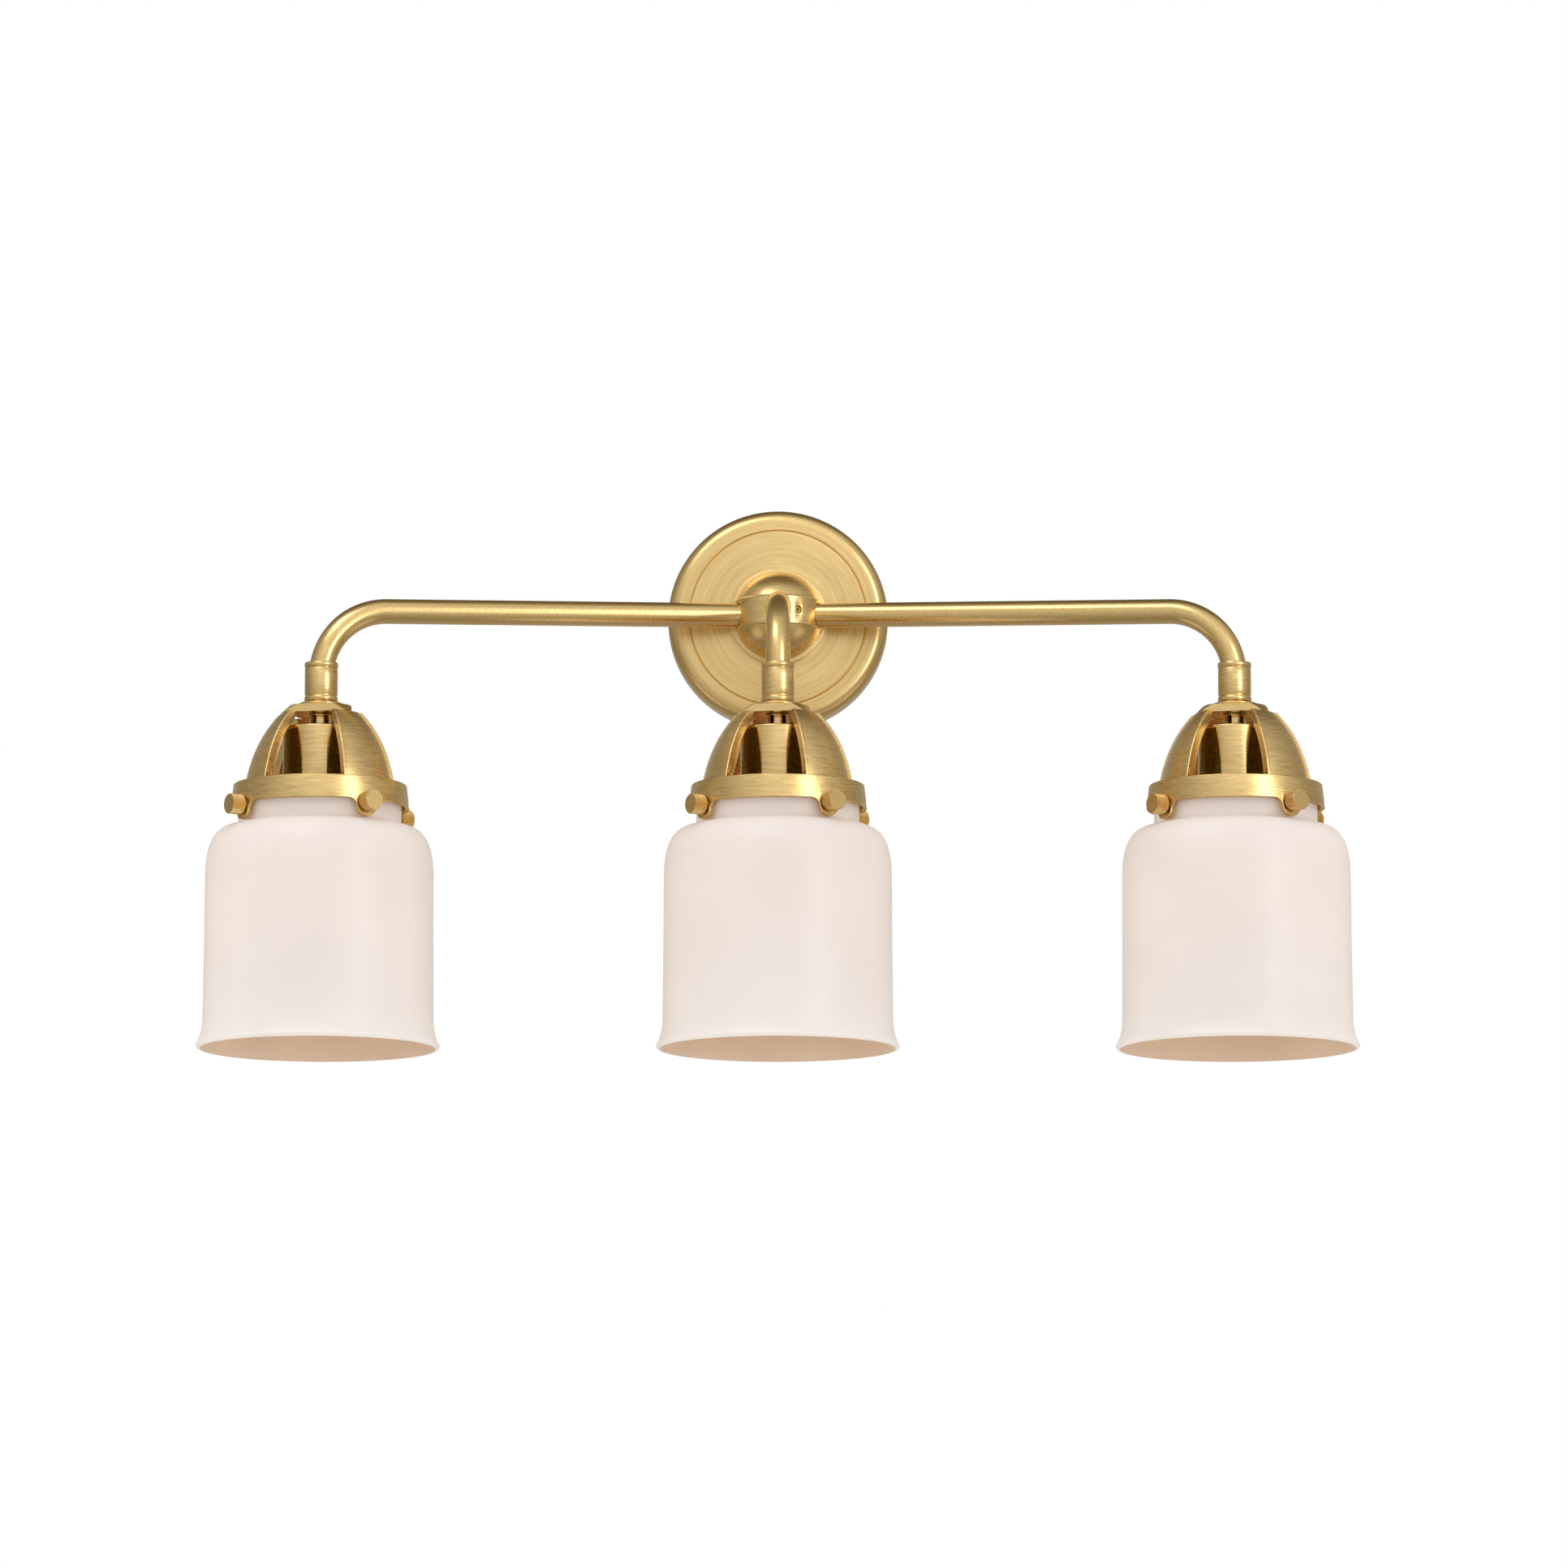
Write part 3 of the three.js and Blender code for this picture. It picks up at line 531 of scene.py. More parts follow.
# %% Turn the ball and bore its sockets
HUB_RADIUS = 23.1
BAND_RADIUS = 22.6
BAND_HALF = 7.55
GROOVE = 0.5  # the fine groove on either side of the band
TUBE = 6.35
hub_section = (
    arc((0, 0), HUB_RADIUS, -90, -math.degrees(math.asin(BAND_HALF / HUB_RADIUS)) - 0.4, 24)
    + [(BAND_RADIUS - GROOVE, -BAND_HALF), (BAND_RADIUS, -BAND_HALF + GROOVE)]
    + [(BAND_RADIUS, BAND_HALF - GROOVE), (BAND_RADIUS - GROOVE, BAND_HALF)]
    + arc((0, 0), HUB_RADIUS, math.degrees(math.asin(BAND_HALF / HUB_RADIUS)) + 0.4, 90, 24)
)
hub = turned("made_hub_ball", hub_section, tuple(hub_middle), 128)
arm_reach = Vector((lamp_x["right"], lamp_y - hub_middle.y, 0))
rake = math.degrees(math.atan2(-arm_reach.y, arm_reach.x))


def cylinder(radius, length, location, direction, vertices=48):
    """A round bar of that length with its middle at location, pointing along direction."""
    deselect()
    turn = Vector(direction).to_track_quat("Z", "Y").to_euler()
    bpy.ops.mesh.primitive_cylinder_add(
        vertices=vertices, radius=radius * MM, depth=length * MM, location=location, rotation=turn
    )
    made = bpy.context.object
    apply_place(made)
    return made


def towards(azimuth, drop=0.0):
    """The direction to an azimuth in degrees: 0 is out of the wall and 90 is +X. drop tips it downwards."""
    a, d = math.radians(azimuth), math.radians(drop)
    return Vector((math.sin(a) * math.cos(d), -math.cos(a) * math.cos(d), -math.sin(d)))


ARM_DROOP = 2.2
SOCKET_FROM = 11.8
ways = {"left": (rake - 90, ARM_DROOP), "centre": (0, 0), "right": (90 - rake, ARM_DROOP)}
bores = []
for way in ways.values():
    direction = towards(*way)
    bores.append(cylinder(TUBE + 0.25, 14, hub_middle + direction * (SOCKET_FROM + 7) * MM, direction))
bores.append(cylinder(2.0, 12, hub_middle + towards(28) * 22 * MM, towards(28), 24))
bores.append(cylinder(STEM_HOLE, 20, hub_middle + Vector((0, 6 * MM, 0)), (0, 1, 0)))
deselect()
bpy.ops.mesh.primitive_cube_add(size=0.1, location=(0, 0.05 - (plate_depth + 0.3) * MM, 0))
bores.append(bpy.context.object)
combine(hub, bores, "DIFFERENCE")
soften(hub, 0.2, 2, 50)
smooth(hub, 24)
settle(hub, "hub_ball", hub_brass)
print("hub faces:", len(hub.data.polygons))

# %% [markdown]
# ## Arms
# Each arm is one drawn tube, bent once in a mandrel bender. It is a flat ring of tube section that is
# extruded along the straight, spun round the bend and extruded down the tail, as the tube itself is made.

# %% Bend the arms
BEND_RADIUS = 35.0
TUBE_WALL = 1.2
BEND_STEPS = 28
TUBE_SIDES = 40
ARM_END = 6.9  # how far the arms go into their collars


def bent_arm(name, azimuth, drop, reach):
    """An arm that leaves the hub along azimuth, and ends straight down at reach from the hub's middle."""
    d = math.radians(drop)
    run = (reach - BEND_RADIUS * (1 - math.sin(d))) / math.cos(d)
    out = towards(azimuth, drop)
    start = hub_middle + out * SOCKET_FROM * MM
    deselect()
    bpy.ops.mesh.primitive_circle_add(
        vertices=TUBE_SIDES,
        radius=TUBE * MM,
        fill_type="NOTHING",
        location=start,
        rotation=out.to_track_quat("Z", "Y").to_euler(),
    )
    made = bpy.context.object
    made.name = made.data.name = name
    bpy.ops.object.mode_set(mode="EDIT")
    straight = out * (run - SOCKET_FROM) * MM
    for share in (0.02, 0.48, 0.48, 0.02):
        bpy.ops.mesh.extrude_region_move(TRANSFORM_OT_translate={"value": straight * share})
    side = out.cross(Vector((0, 0, 1))).normalized()
    inwards = side.cross(out).normalized() * -1
    bend_middle = start + straight + inwards * BEND_RADIUS * MM
    turn = math.pi / 2 - d
    bpy.ops.mesh.spin(steps=BEND_STEPS, angle=turn, center=bend_middle, axis=side)
    low = collar_top - ARM_END
    bend_end = -run * math.sin(d) - BEND_RADIUS * math.cos(d)
    tail = max(bend_end - low, 0.2)
    bpy.ops.mesh.extrude_region_move(TRANSFORM_OT_translate={"value": (0, 0, -tail * MM)})
    bpy.ops.mesh.select_all(action="SELECT")
    bpy.ops.mesh.normals_make_consistent(inside=False)
    bpy.ops.object.mode_set(mode="OBJECT")
    apply_place(made)
    wall = made.modifiers.new("tube wall", "SOLIDIFY")
    wall.thickness = TUBE_WALL * MM
    wall.offset = -1
    wall.use_rim = True
    choose(made)
    bpy.ops.object.modifier_apply(modifier=wall.name)
    smooth(made, 40)
    return made


reaches = {"left": arm_reach.length / MM, "centre": -arm_reach.y / MM, "right": arm_reach.length / MM}
for side_name, (azimuth, drop) in ways.items():
    arm = bent_arm("made_arm_" + side_name, azimuth, drop, reaches[side_name])
    settle(arm, "arm_" + side_name, arm_brass)
    ends = [tuple(round(v / MM, 1) for v in corner) for corner in (arm.bound_box[0], arm.bound_box[6])]
    print("arm", side_name, ends)

# %% [markdown]
# ## Collar, check ring, vent sleeve and socket cup
# These four are turned brass, stacked on one threaded nipple. The collar has fine grooves near its ends,
# and the sleeve is slotted so that heat can leave. The cup has four hollows, which leave tapering legs
# between them.

# %% Turn the collar and the check ring
NIPPLE_HOLE = 4.3
collar_low, collar_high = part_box("collar_centre")
collar_radius = (collar_high[1] - collar_low[1]) / 2 / MM
r, t, b = collar_radius, collar_top, collar_foot
collar = turned(
    "made_collar_centre",
    [(NIPPLE_HOLE, b), (r - 0.3, b), (r, b + 0.3), (r, b + 2.2), (r - 0.25, b + 2.45), (r - 0.6, b + 2.6)]
    + [(r - 0.6, b + 3.1), (r - 0.3, b + 3.3), (r - 0.15, b + 3.6), (r - 0.15, t - 3.4), (r - 0.3, t - 3.15)]
    + [(r - 0.55, t - 3.0), (r - 0.55, t - 2.75), (r - 0.25, t - 2.6), (r, t - 2.35), (r, t - 0.3)]
    + [(r - 0.3, t), (r - 0.95, t), (r - 0.95, t - 7.6), (NIPPLE_HOLE, t - 9)],
    tuple(lamp_axis),
    72,
)
smooth(collar, 50)
on_each_lamp(collar, "collar", turned_brass)
check_low, check_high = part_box("check_ring_centre")
r, t, b = (check_high[1] - check_low[1]) / 2 / MM, check_top, check_foot
check = turned(
    "made_check_ring_centre",
    [(NIPPLE_HOLE, b), (r - 0.15, b)]
    + arc((r - 0.7, b + 0.7), 0.7, -60, 60, 5)
    + [(r - 1.0, t - 0.45), (r - 2.1, t - 0.1), (r - 2.4, t), (NIPPLE_HOLE, t)],
    tuple(lamp_axis),
    72,
)
smooth(check, 40)
on_each_lamp(check, "check_ring", turned_brass)

# %% Slot the vent sleeve and hollow the socket cup
SLEEVE_RADIUS = 6.1
SLEEVE_SLOTS = 6
SLOT_DEGREES = 20
SLEEVE_RIM = 0.7  # left above and below the slots
r, t, b = SLEEVE_RADIUS, sleeve_top, sleeve_foot
sleeve = turned("made_vent_sleeve_centre", [(4.4, b), (r, b), (r, t), (4.4, t)], tuple(lamp_axis), 72)
slot_width = 2 * r * math.sin(math.radians(SLOT_DEGREES / 2))
cutters = []
for i in range(SLEEVE_SLOTS):
    out = towards((i + 0.5) * 360 / SLEEVE_SLOTS)
    deselect()
    place = lamp_axis + out * r * MM + Vector((0, 0, (t + b) / 2 * MM))
    bpy.ops.mesh.primitive_cube_add(size=1, location=place)
    block = bpy.context.object
    block.scale = (slot_width * MM, 8 * MM, (t - b - 2 * SLEEVE_RIM) * MM)
    block.rotation_euler = (0, 0, math.atan2(out.y, out.x) + math.pi / 2)
    apply_place(block)
    cutters.append(block)
combine(sleeve, cutters, "DIFFERENCE")
soften(sleeve, 0.12, 2, 50)
smooth(sleeve, 35)
on_each_lamp(sleeve, "vent_sleeve", turned_brass)

CUP_RADIUS = 19.0
CUP_WALL = 2.1
CUP_TOP = 1.2
CUP_RECESS = 1.3
CUP_LEGS = 4
CUP_YAW = -6
LEG_TOP = 18.0
LEG_FOOT = 13.2
CUP_BAND = 5.0
r, t, b = CUP_RADIUS, cup_top, cup_foot
cup = turned(
    "made_socket_cup_centre",
    [(r - CUP_WALL, b), (r, b)]
    + arc((r - 1, t - 1), 1, 0, 90, 5)
    + [(NIPPLE_HOLE, t), (NIPPLE_HOLE, t - CUP_TOP), (r - CUP_WALL, t - CUP_TOP)],
    tuple(lamp_axis),
    96,
)
pitch = math.tau / CUP_LEGS


def gap_half(leg_width):
    """Half the opening between two legs, measured along the cup's side."""
    return (pitch - 2 * math.asin(leg_width / 2 / r)) * r / 2


high, low = t - CUP_TOP - 0.5, b + CUP_BAND
narrow, wide = gap_half(LEG_TOP), gap_half(LEG_FOOT)
right_edge = bezier((narrow, high), (wide, (high + low) / 2), (wide, low), count=10)
opening = right_edge + [(-x, z) for x, z in reversed(right_edge)]
cutters = []
for i in range(CUP_LEGS):
    wall_points = [(x * MM, -4 * MM, z * MM) for x, z in opening]
    cutter = plate_of("cup_hollow", wall_points, (0, -(r + 2) * MM, 0))
    cutter.data.transform(Matrix.Rotation((i + 0.5) * pitch, 4, "Z"))
    cutter.data.transform(Matrix.Translation(lamp_axis))
    core_middle = lamp_axis + Vector((0, 0, (t + b) / 2 * MM))
    combine(cutter, [cylinder(r - CUP_RECESS, t - b + 4, core_middle, (0, 0, 1), 96)], "DIFFERENCE")
    cutters.append(cutter)
combine(cup, cutters, "DIFFERENCE")
spin_about(cup, lamp_axis, CUP_YAW)
soften(cup, 0.2, 2, 50)
smooth(cup, 35)
on_each_lamp(cup, "socket_cup", turned_brass)
# the floors of the cup's hollows wear the dark brass of painted shade
for lamp in LAMPS:
    mesh = bpy.data.objects["made_socket_cup_" + lamp].data
    mesh.materials.append(hollow_shade_brass)
    for face in mesh.polygons:
        way = Vector((face.center.x - lamp_x[lamp], face.center.y - lamp_y, 0))
        inside = (r - CUP_RECESS - 0.25) * MM < way.length < (r - CUP_RECESS + 0.15) * MM
        if inside and abs(face.normal.z) < 0.3:
            face.material_index = 1
print("cup faces:", len(cup.data.polygons))

# %% [markdown]
# ## The cast holder
# The holder is one brass casting: a top plate with a flat over each window, dome-shaped panels between
# three open windows, a rib along each window's edge, and the ring with four tabs that takes the glass. The
# dome, the ribs and the plate are solids that are joined. The ring's lower edge runs down round each tab,
# which no lathe makes, so the ring is laid out in columns round the axis, each as long as the edge asks
# for.

# %% Sizes of the holder
HOLDER_YAW = -10.5
TOP_RADIUS = 16.2
TOP_HEIGHT = 3.9
BASE_RADIUS = 38.0
DOME_HEIGHT = 40.6
DOME_WALL = 2.2
WINDOWS = ((0, 32), (105.75, 17.75), (-105.75, 17.75))  # azimuth and half width of each
RIB_THICK = 1.7
RIB_PROUD = 0.9
RIB_DEPTH = 4.4
RING_TOP_RADIUS = 43.9
RING_FOOT_RADIUS = 45.2
RING_HEIGHT = 11.8
RING_WALL = 2.1
SHELF = 2.4
TABS = 4
TAB_HALF = 5.2
TAB_FILLET = 4.6
ring_top = holder_top - DOME_HEIGHT
ring_foot = ring_top - RING_HEIGHT
tab_drop = ring_foot - holder_foot


def dome_point(t):
    """Radius and height on the dome's outer line, from the top plate (0) to the ring (1), and the normal."""
    shares = [(0, 0), (0.58, 0.27), (0.87, 0.6), (1, 1)]
    corners = [(TOP_RADIUS + s * (BASE_RADIUS - TOP_RADIUS), holder_top - d * DOME_HEIGHT) for s, d in shares]
    weights = [(1 - t) ** 3, 3 * t * (1 - t) ** 2, 3 * t * t * (1 - t), t**3]
    x, z = (sum(w * c[axis] for w, c in zip(weights, corners)) for axis in (0, 1))
    slopes = [(1 - t) ** 2, 2 * t * (1 - t), t * t]
    dx, dz = (
        sum(s * (after[axis] - before[axis]) for s, before, after in zip(slopes, corners, corners[1:]))
        for axis in (0, 1)
    )
    length = math.hypot(dx, dz)
    return (x, z), (-dz / length, dx / length)


def dome_line(amount, count, start=0.0, end=1.0):
    """Points at a distance outwards from the dome's outer line."""
    points = []
    for i in range(count + 1):
        (x, z), (nx, nz) = dome_point(start + (end - start) * i / count)
        points.append((x + nx * amount, z + nz * amount))
    return points


# %% Dome, ribs and top plate
plate_under = holder_top - TOP_HEIGHT
outer_line = dome_line(0, 18)
inner_line = [p for p in dome_line(-DOME_WALL, 18, 0.08) if p[1] < plate_under - 0.1]
dome = turned(
    "made_holder_centre",
    outer_line
    + inner_line[::-1]
    + [(inner_line[0][0] - 0.8, plate_under), (NIPPLE_HOLE, plate_under), (NIPPLE_HOLE, holder_top)],
    tuple(lamp_axis),
    120,
)


def wedge(azimuth, half, far, low, high):
    """A wedge from the lamp's axis outwards, used to cut a window."""
    corners = [lamp_axis.copy()]
    for turn in (azimuth - half, azimuth, azimuth + half):
        reach_out = far / (math.cos(math.radians(half)) if turn == azimuth else 1)
        corners.append(lamp_axis + towards(turn) * reach_out * MM)
    points = [(c.x, c.y, low * MM) for c in corners]
    return plate_of("window", points, (0, 0, (high - low) * MM))


WEDGE_REACH = 44  # past the dome's outer face
FLAT_BLOCK = 30  # size of the block that cuts a flat on the top plate over a window
windows = [wedge(at, half, WEDGE_REACH, ring_top - 1, plate_under) for at, half in WINDOWS]
flats = []
for at, half in WINDOWS:
    out = towards(at)
    deselect()
    flat_at = TOP_RADIUS * math.cos(math.radians(half + 3))
    place = lamp_axis + out * (flat_at + FLAT_BLOCK / 2) * MM + Vector((0, 0, (holder_top - 1) * MM))
    bpy.ops.mesh.primitive_cube_add(size=1, location=place)
    block = bpy.context.object
    block.scale = (FLAT_BLOCK * MM, FLAT_BLOCK * MM, (TOP_HEIGHT + 2) * MM)
    block.rotation_euler = (0, 0, math.atan2(out.y, out.x))
    apply_place(block)
    flats.append(block)
combine(dome, windows, "DIFFERENCE")


def rib(azimuth, side):
    """A rib along a window's edge: a slice of the dome's section that stands proud of the panel."""
    outer = dome_line(RIB_PROUD, 20, 0.02)
    inner = dome_line(-RIB_DEPTH, 16, 0.14)
    section = outer + inner[::-1]
    points = [(x * MM, 0, z * MM) for x, z in section]
    made = plate_of("rib", points, (0, -side * RIB_THICK * MM, 0))
    soften(made, 0.4, 3, 50)
    made.data.transform(Matrix.Rotation(math.radians(azimuth) - math.pi / 2, 4, "Z"))
    made.data.transform(Matrix.Translation(lamp_axis))
    return made


ribs = []
for at, half in WINDOWS:
    ribs += [rib(at - half, 1), rib(at + half, -1)]
combine(dome, ribs, "UNION")
combine(dome, flats, "DIFFERENCE")

# %% Ring with its tabs
TAB_SIDE = TAB_HALF + TAB_FILLET
EDGE = 0.35  # radius of the softened edges


def lower_edge():
    """Half the lower edge from a tab's middle outwards: distance along the ring, drop below it, normal."""
    foot = tab_drop - TAB_FILLET
    points = []
    for i in range(13):
        a = math.radians(-90 + 90 * i / 12)
        points.append((TAB_HALF * math.cos(a), -TAB_FILLET + foot * math.sin(a), math.cos(a), math.sin(a)))
    for i in range(1, 11):
        a = math.radians(180 - 90 * i / 10)
        along, up = math.cos(a), math.sin(a)
        points.append((TAB_SIDE + TAB_FILLET * along, TAB_FILLET * (up - 1), -along, -up))
    return points


def edge_columns():
    """Azimuth in degrees, drop and edge normal for every column round the ring."""
    half = lower_edge()
    columns = []
    for i in range(TABS):
        at = 360 / TABS * (i + 0.5)
        tab = [(-s, z, -nx, nz) for s, z, nx, nz in reversed(half[1:])] + half
        columns += [(at + math.degrees(s / RING_FOOT_RADIUS), z, nx, nz) for s, z, nx, nz in tab]
        first = at + math.degrees(TAB_SIDE / RING_FOOT_RADIUS)
        last = at + 360 / TABS - math.degrees(TAB_SIDE / RING_FOOT_RADIUS)
        columns += [(first + (last - first) * k / 24, 0, 0, -1) for k in range(1, 24)]
    return columns


def ring_outer(z):
    return RING_TOP_RADIUS + (RING_FOOT_RADIUS - RING_TOP_RADIUS) * (ring_top - z) / RING_HEIGHT


def ring_columns():
    """The ring's vertices, column by column: down the outside, round the lower edge and up the inside."""
    turns = [math.radians(a) for a in (90, 60, 30, 0)]
    columns = []
    shelf_in = BASE_RADIUS - RIB_DEPTH
    for azimuth, drop, nx, nz in edge_columns():
        column = []

        def put(radius, z, along=0.0):
            out = towards(azimuth + math.degrees(along / RING_FOOT_RADIUS))
            column.append(lamp_axis + out * radius * MM + Vector((0, 0, z * MM)))

        put(shelf_in, ring_top)
        for t in turns:
            put(ring_outer(ring_top) - EDGE + EDGE * math.cos(t), ring_top - EDGE + EDGE * math.sin(t))
        for share in (0.33, 0.66):
            put(ring_outer(ring_top - share * RING_HEIGHT), ring_top - share * RING_HEIGHT)
        edge_z = ring_foot + drop
        for t in reversed(turns):
            back = EDGE * (1 - math.cos(t))
            put(ring_outer(edge_z) - EDGE + EDGE * math.sin(t), edge_z - nz * back, -nx * back)
        for t in turns:
            back = EDGE * (1 - math.cos(t))
            put(ring_outer(edge_z) - RING_WALL + EDGE - EDGE * math.sin(t), edge_z - nz * back, -nx * back)
        put(ring_outer(ring_top - 0.6 * RING_HEIGHT) - RING_WALL, ring_top - 0.6 * RING_HEIGHT)
        put(ring_outer(ring_top) - RING_WALL, ring_top - SHELF)
        put(shelf_in, ring_top - SHELF)
        columns.append(column)
    return columns


columns = ring_columns()
rows = len(columns[0])
vertices = [tuple(v) for column in columns for v in column]
faces = []
for c in range(len(columns)):
    after = (c + 1) % len(columns)
    for k in range(rows):
        below = (k + 1) % rows
        faces.append((c * rows + k, c * rows + below, after * rows + below, after * rows + k))
ring_mesh = bpy.data.meshes.new("ring")
ring_mesh.from_pydata(vertices, [], faces)
ring = bpy.data.objects.new("ring", ring_mesh)
bpy.context.scene.collection.objects.link(ring)
choose(ring)
bpy.ops.object.mode_set(mode="EDIT")
bpy.ops.mesh.select_all(action="SELECT")
bpy.ops.mesh.normals_make_consistent(inside=False)
bpy.ops.object.mode_set(mode="OBJECT")
SCREW_DROP = 1.5
screw_z = ring_foot - SCREW_DROP
tab_azimuths = [360 / TABS * (i + 0.5) for i in range(TABS)]
holes = []
for azimuth in tab_azimuths:
    at = lamp_axis + towards(azimuth) * 45 * MM + Vector((0, 0, screw_z * MM))
    holes.append(cylinder(2.3, 10, at, towards(azimuth), 32))
combine(ring, holes, "DIFFERENCE")
combine(dome, [ring], "UNION")
spin_about(dome, lamp_axis, HOLDER_YAW)
smooth(dome, 32)
on_each_lamp(dome, "holder", cast_brass)
print("holder faces:", len(dome.data.polygons))

# %% [markdown]
# ## Thumbscrews
# Each tab has a small turned screw with a straight knurl, so that fingers can grip it. The knurl is a row
# of ridges pressed into the head's side: every second edge of a many-sided cylinder is pulled inwards.

# %% Knurl one screw and fit twelve
THUMB_RADIUS = 5.15
THUMB_RIDGES = 32
SHANK_RADIUS = 2.0
KNURL_INWARDS = 0.89  # the valleys' share of the head's radius
HEAD_RIM = 0.3  # width of the rim round the head's flat ends
HEAD_ROUND = 0.15  # how far the knurled edge stands back from the flat ends
tip, head_start, head_end = 41.6, 46.3, 53.3  # distances from the lamp's axis


def knurled_screw():
    """A thumbscrew along +X from the lamp's axis, its head's ridges made by pulling in every second edge."""
    length = head_end - head_start
    head = cylinder(THUMB_RADIUS, length, ((head_start + length / 2) * MM, 0, 0), (1, 0, 0), THUMB_RIDGES * 2)
    head.name = head.data.name = "made_thumbscrew"
    bpy.ops.object.mode_set(mode="EDIT")
    bpy.ops.mesh.select_mode(type="FACE")
    bpy.ops.mesh.select_all(action="DESELECT")
    bpy.ops.object.mode_set(mode="OBJECT")
    for face in head.data.polygons:
        face.select = abs(face.normal.x) > 0.9
    bpy.ops.object.mode_set(mode="EDIT")
    bpy.ops.mesh.inset(thickness=HEAD_RIM * MM, depth=0)
    bpy.ops.object.mode_set(mode="OBJECT")
    rim = [v for v in head.data.vertices if math.hypot(v.co.y, v.co.z) > (THUMB_RADIUS - 0.2) * MM]
    step = math.tau / (THUMB_RIDGES * 2)
    for v in rim:
        index = round(math.atan2(v.co.z, v.co.y) / step)
        if index % 2:
            v.co.y *= KNURL_INWARDS
            v.co.z *= KNURL_INWARDS
        v.co.x += math.copysign(HEAD_ROUND * MM, (head_start + length / 2) * MM - v.co.x)
    shank_end = head_start + 1
    shank_middle = ((shank_end + tip) / 2 * MM, 0, 0)
    shank = cylinder(SHANK_RADIUS, shank_end - tip, shank_middle, (1, 0, 0), 24)
    combine(head, [shank], "UNION")
    soften(head, 0.08, 1, 50)
    smooth(head, 24)
    return head


screw = knurled_screw()
for lamp in LAMPS:
    for i, azimuth in enumerate(tab_azimuths):
        copy = screw.copy()
        copy.data = screw.data.copy()
        copy.name = f"made_thumbscrew_{lamp}_{i + 1}"
        bpy.context.scene.collection.objects.link(copy)
        turn = Matrix.Rotation(math.radians(azimuth + HOLDER_YAW) - math.pi / 2, 4, "Z")
        copy.data.transform(Matrix.Translation((lamp_x[lamp], lamp_y, screw_z * MM)) @ turn)
        settle(copy, f"thumbscrew_{lamp}_{i + 1}", thumb_brass, f"thumbscrew_{lamp}_{i + 1}")
bpy.data.objects.remove(screw)
print("screws fitted:", 3 * len(tab_azimuths))

# %% [markdown]
# ## Opal glass shade
# The shade is blown glass: a straight neck, a round shoulder, a body that widens a little downwards and a
# lip that flares out. It is spun with its wall, and both rims are rounded as fire-polished glass is.

# %% Spin the shade
NECK = 41.3
SHADE_WALL = 3.0
SHADE_RADIUS = 57.7
FOOT_RADIUS = 58.2
LIP_RADIUS = 61.2
LIP_HEIGHT = 14.0
SHOULDER = 23.0
NECK_PAST_TABS = 1.8  # the neck ends this far above the tabs' feet
neck_foot = holder_foot + NECK_PAST_TABS
fillet_end = (NECK + 5, neck_foot - 3)
shade_outer = (
    [(NECK, shade_top - 1.8)]
    + bezier((NECK, neck_foot), (NECK, neck_foot - 2.6), fillet_end, count=8)
    + bezier(
        fillet_end,
        (SHADE_RADIUS - 4.7, fillet_end[1] - 0.9),
        (SHADE_RADIUS - 0.3, fillet_end[1] - 8),
        (SHADE_RADIUS, fillet_end[1] - SHOULDER),
        count=20,
    )[1:]
    + [(SHADE_RADIUS + 0.15, (fillet_end[1] - SHOULDER + shade_foot + LIP_HEIGHT) / 2)]
    + bezier(
        (FOOT_RADIUS, shade_foot + LIP_HEIGHT),
        (FOOT_RADIUS + 0.4, shade_foot + 0.45 * LIP_HEIGHT),
        (LIP_RADIUS, shade_foot + 2.1),
        count=10,
    )
)


def inner_wall(outline, wall):
    """The outline moved inwards by the glass's thickness."""
    moved = []
    for i, (x, z) in enumerate(outline):
        x0, z0 = outline[max(i - 1, 0)]
        x1, z1 = outline[min(i + 1, len(outline) - 1)]
        length = math.hypot(x1 - x0, z1 - z0)
        moved.append((x + (z1 - z0) / length * wall, z - (x1 - x0) / length * wall))
    return moved


shade_inner = inner_wall(shade_outer, SHADE_WALL)
outer_end, inner_end = Vector(shade_outer[-1]), Vector(shade_inner[-1])
lip_middle = (outer_end + inner_end) / 2
lip_turn = math.degrees(math.atan2(outer_end.y - inner_end.y, outer_end.x - inner_end.x))
lip_round = arc(lip_middle, SHADE_WALL / 2, lip_turn - 12, lip_turn - 168, 10)
neck_round = arc((NECK - SHADE_WALL / 2, shade_top - 1.5), SHADE_WALL / 2, 180, 0, 10)
shade = turned(
    "made_shade_centre",
    shade_outer + lip_round + shade_inner[::-1] + neck_round,
    tuple(lamp_axis),
    144,
)
smooth(shade, 60)
on_each_lamp(shade, "shade", opal)
# the inner faces wear the painted warm shade
for lamp in LAMPS:
    mesh = bpy.data.objects["made_shade_" + lamp].data
    mesh.materials.append(opal_painted_warm_shade)
    for face in mesh.polygons:
        way = Vector((face.center.x - lamp_x[lamp], face.center.y - lamp_y, 0))
        if face.normal.dot(way.normalized()) < -0.3:
            face.material_index = 1
print("shade faces:", len(shade.data.polygons))

# %% [markdown]
# ## Bulb and socket
# A frosted bulb with a rolled screw thread sits in a phenolic socket. They show from below, through the
# mouth of the shade. The thread is a wave down the section of the cap.

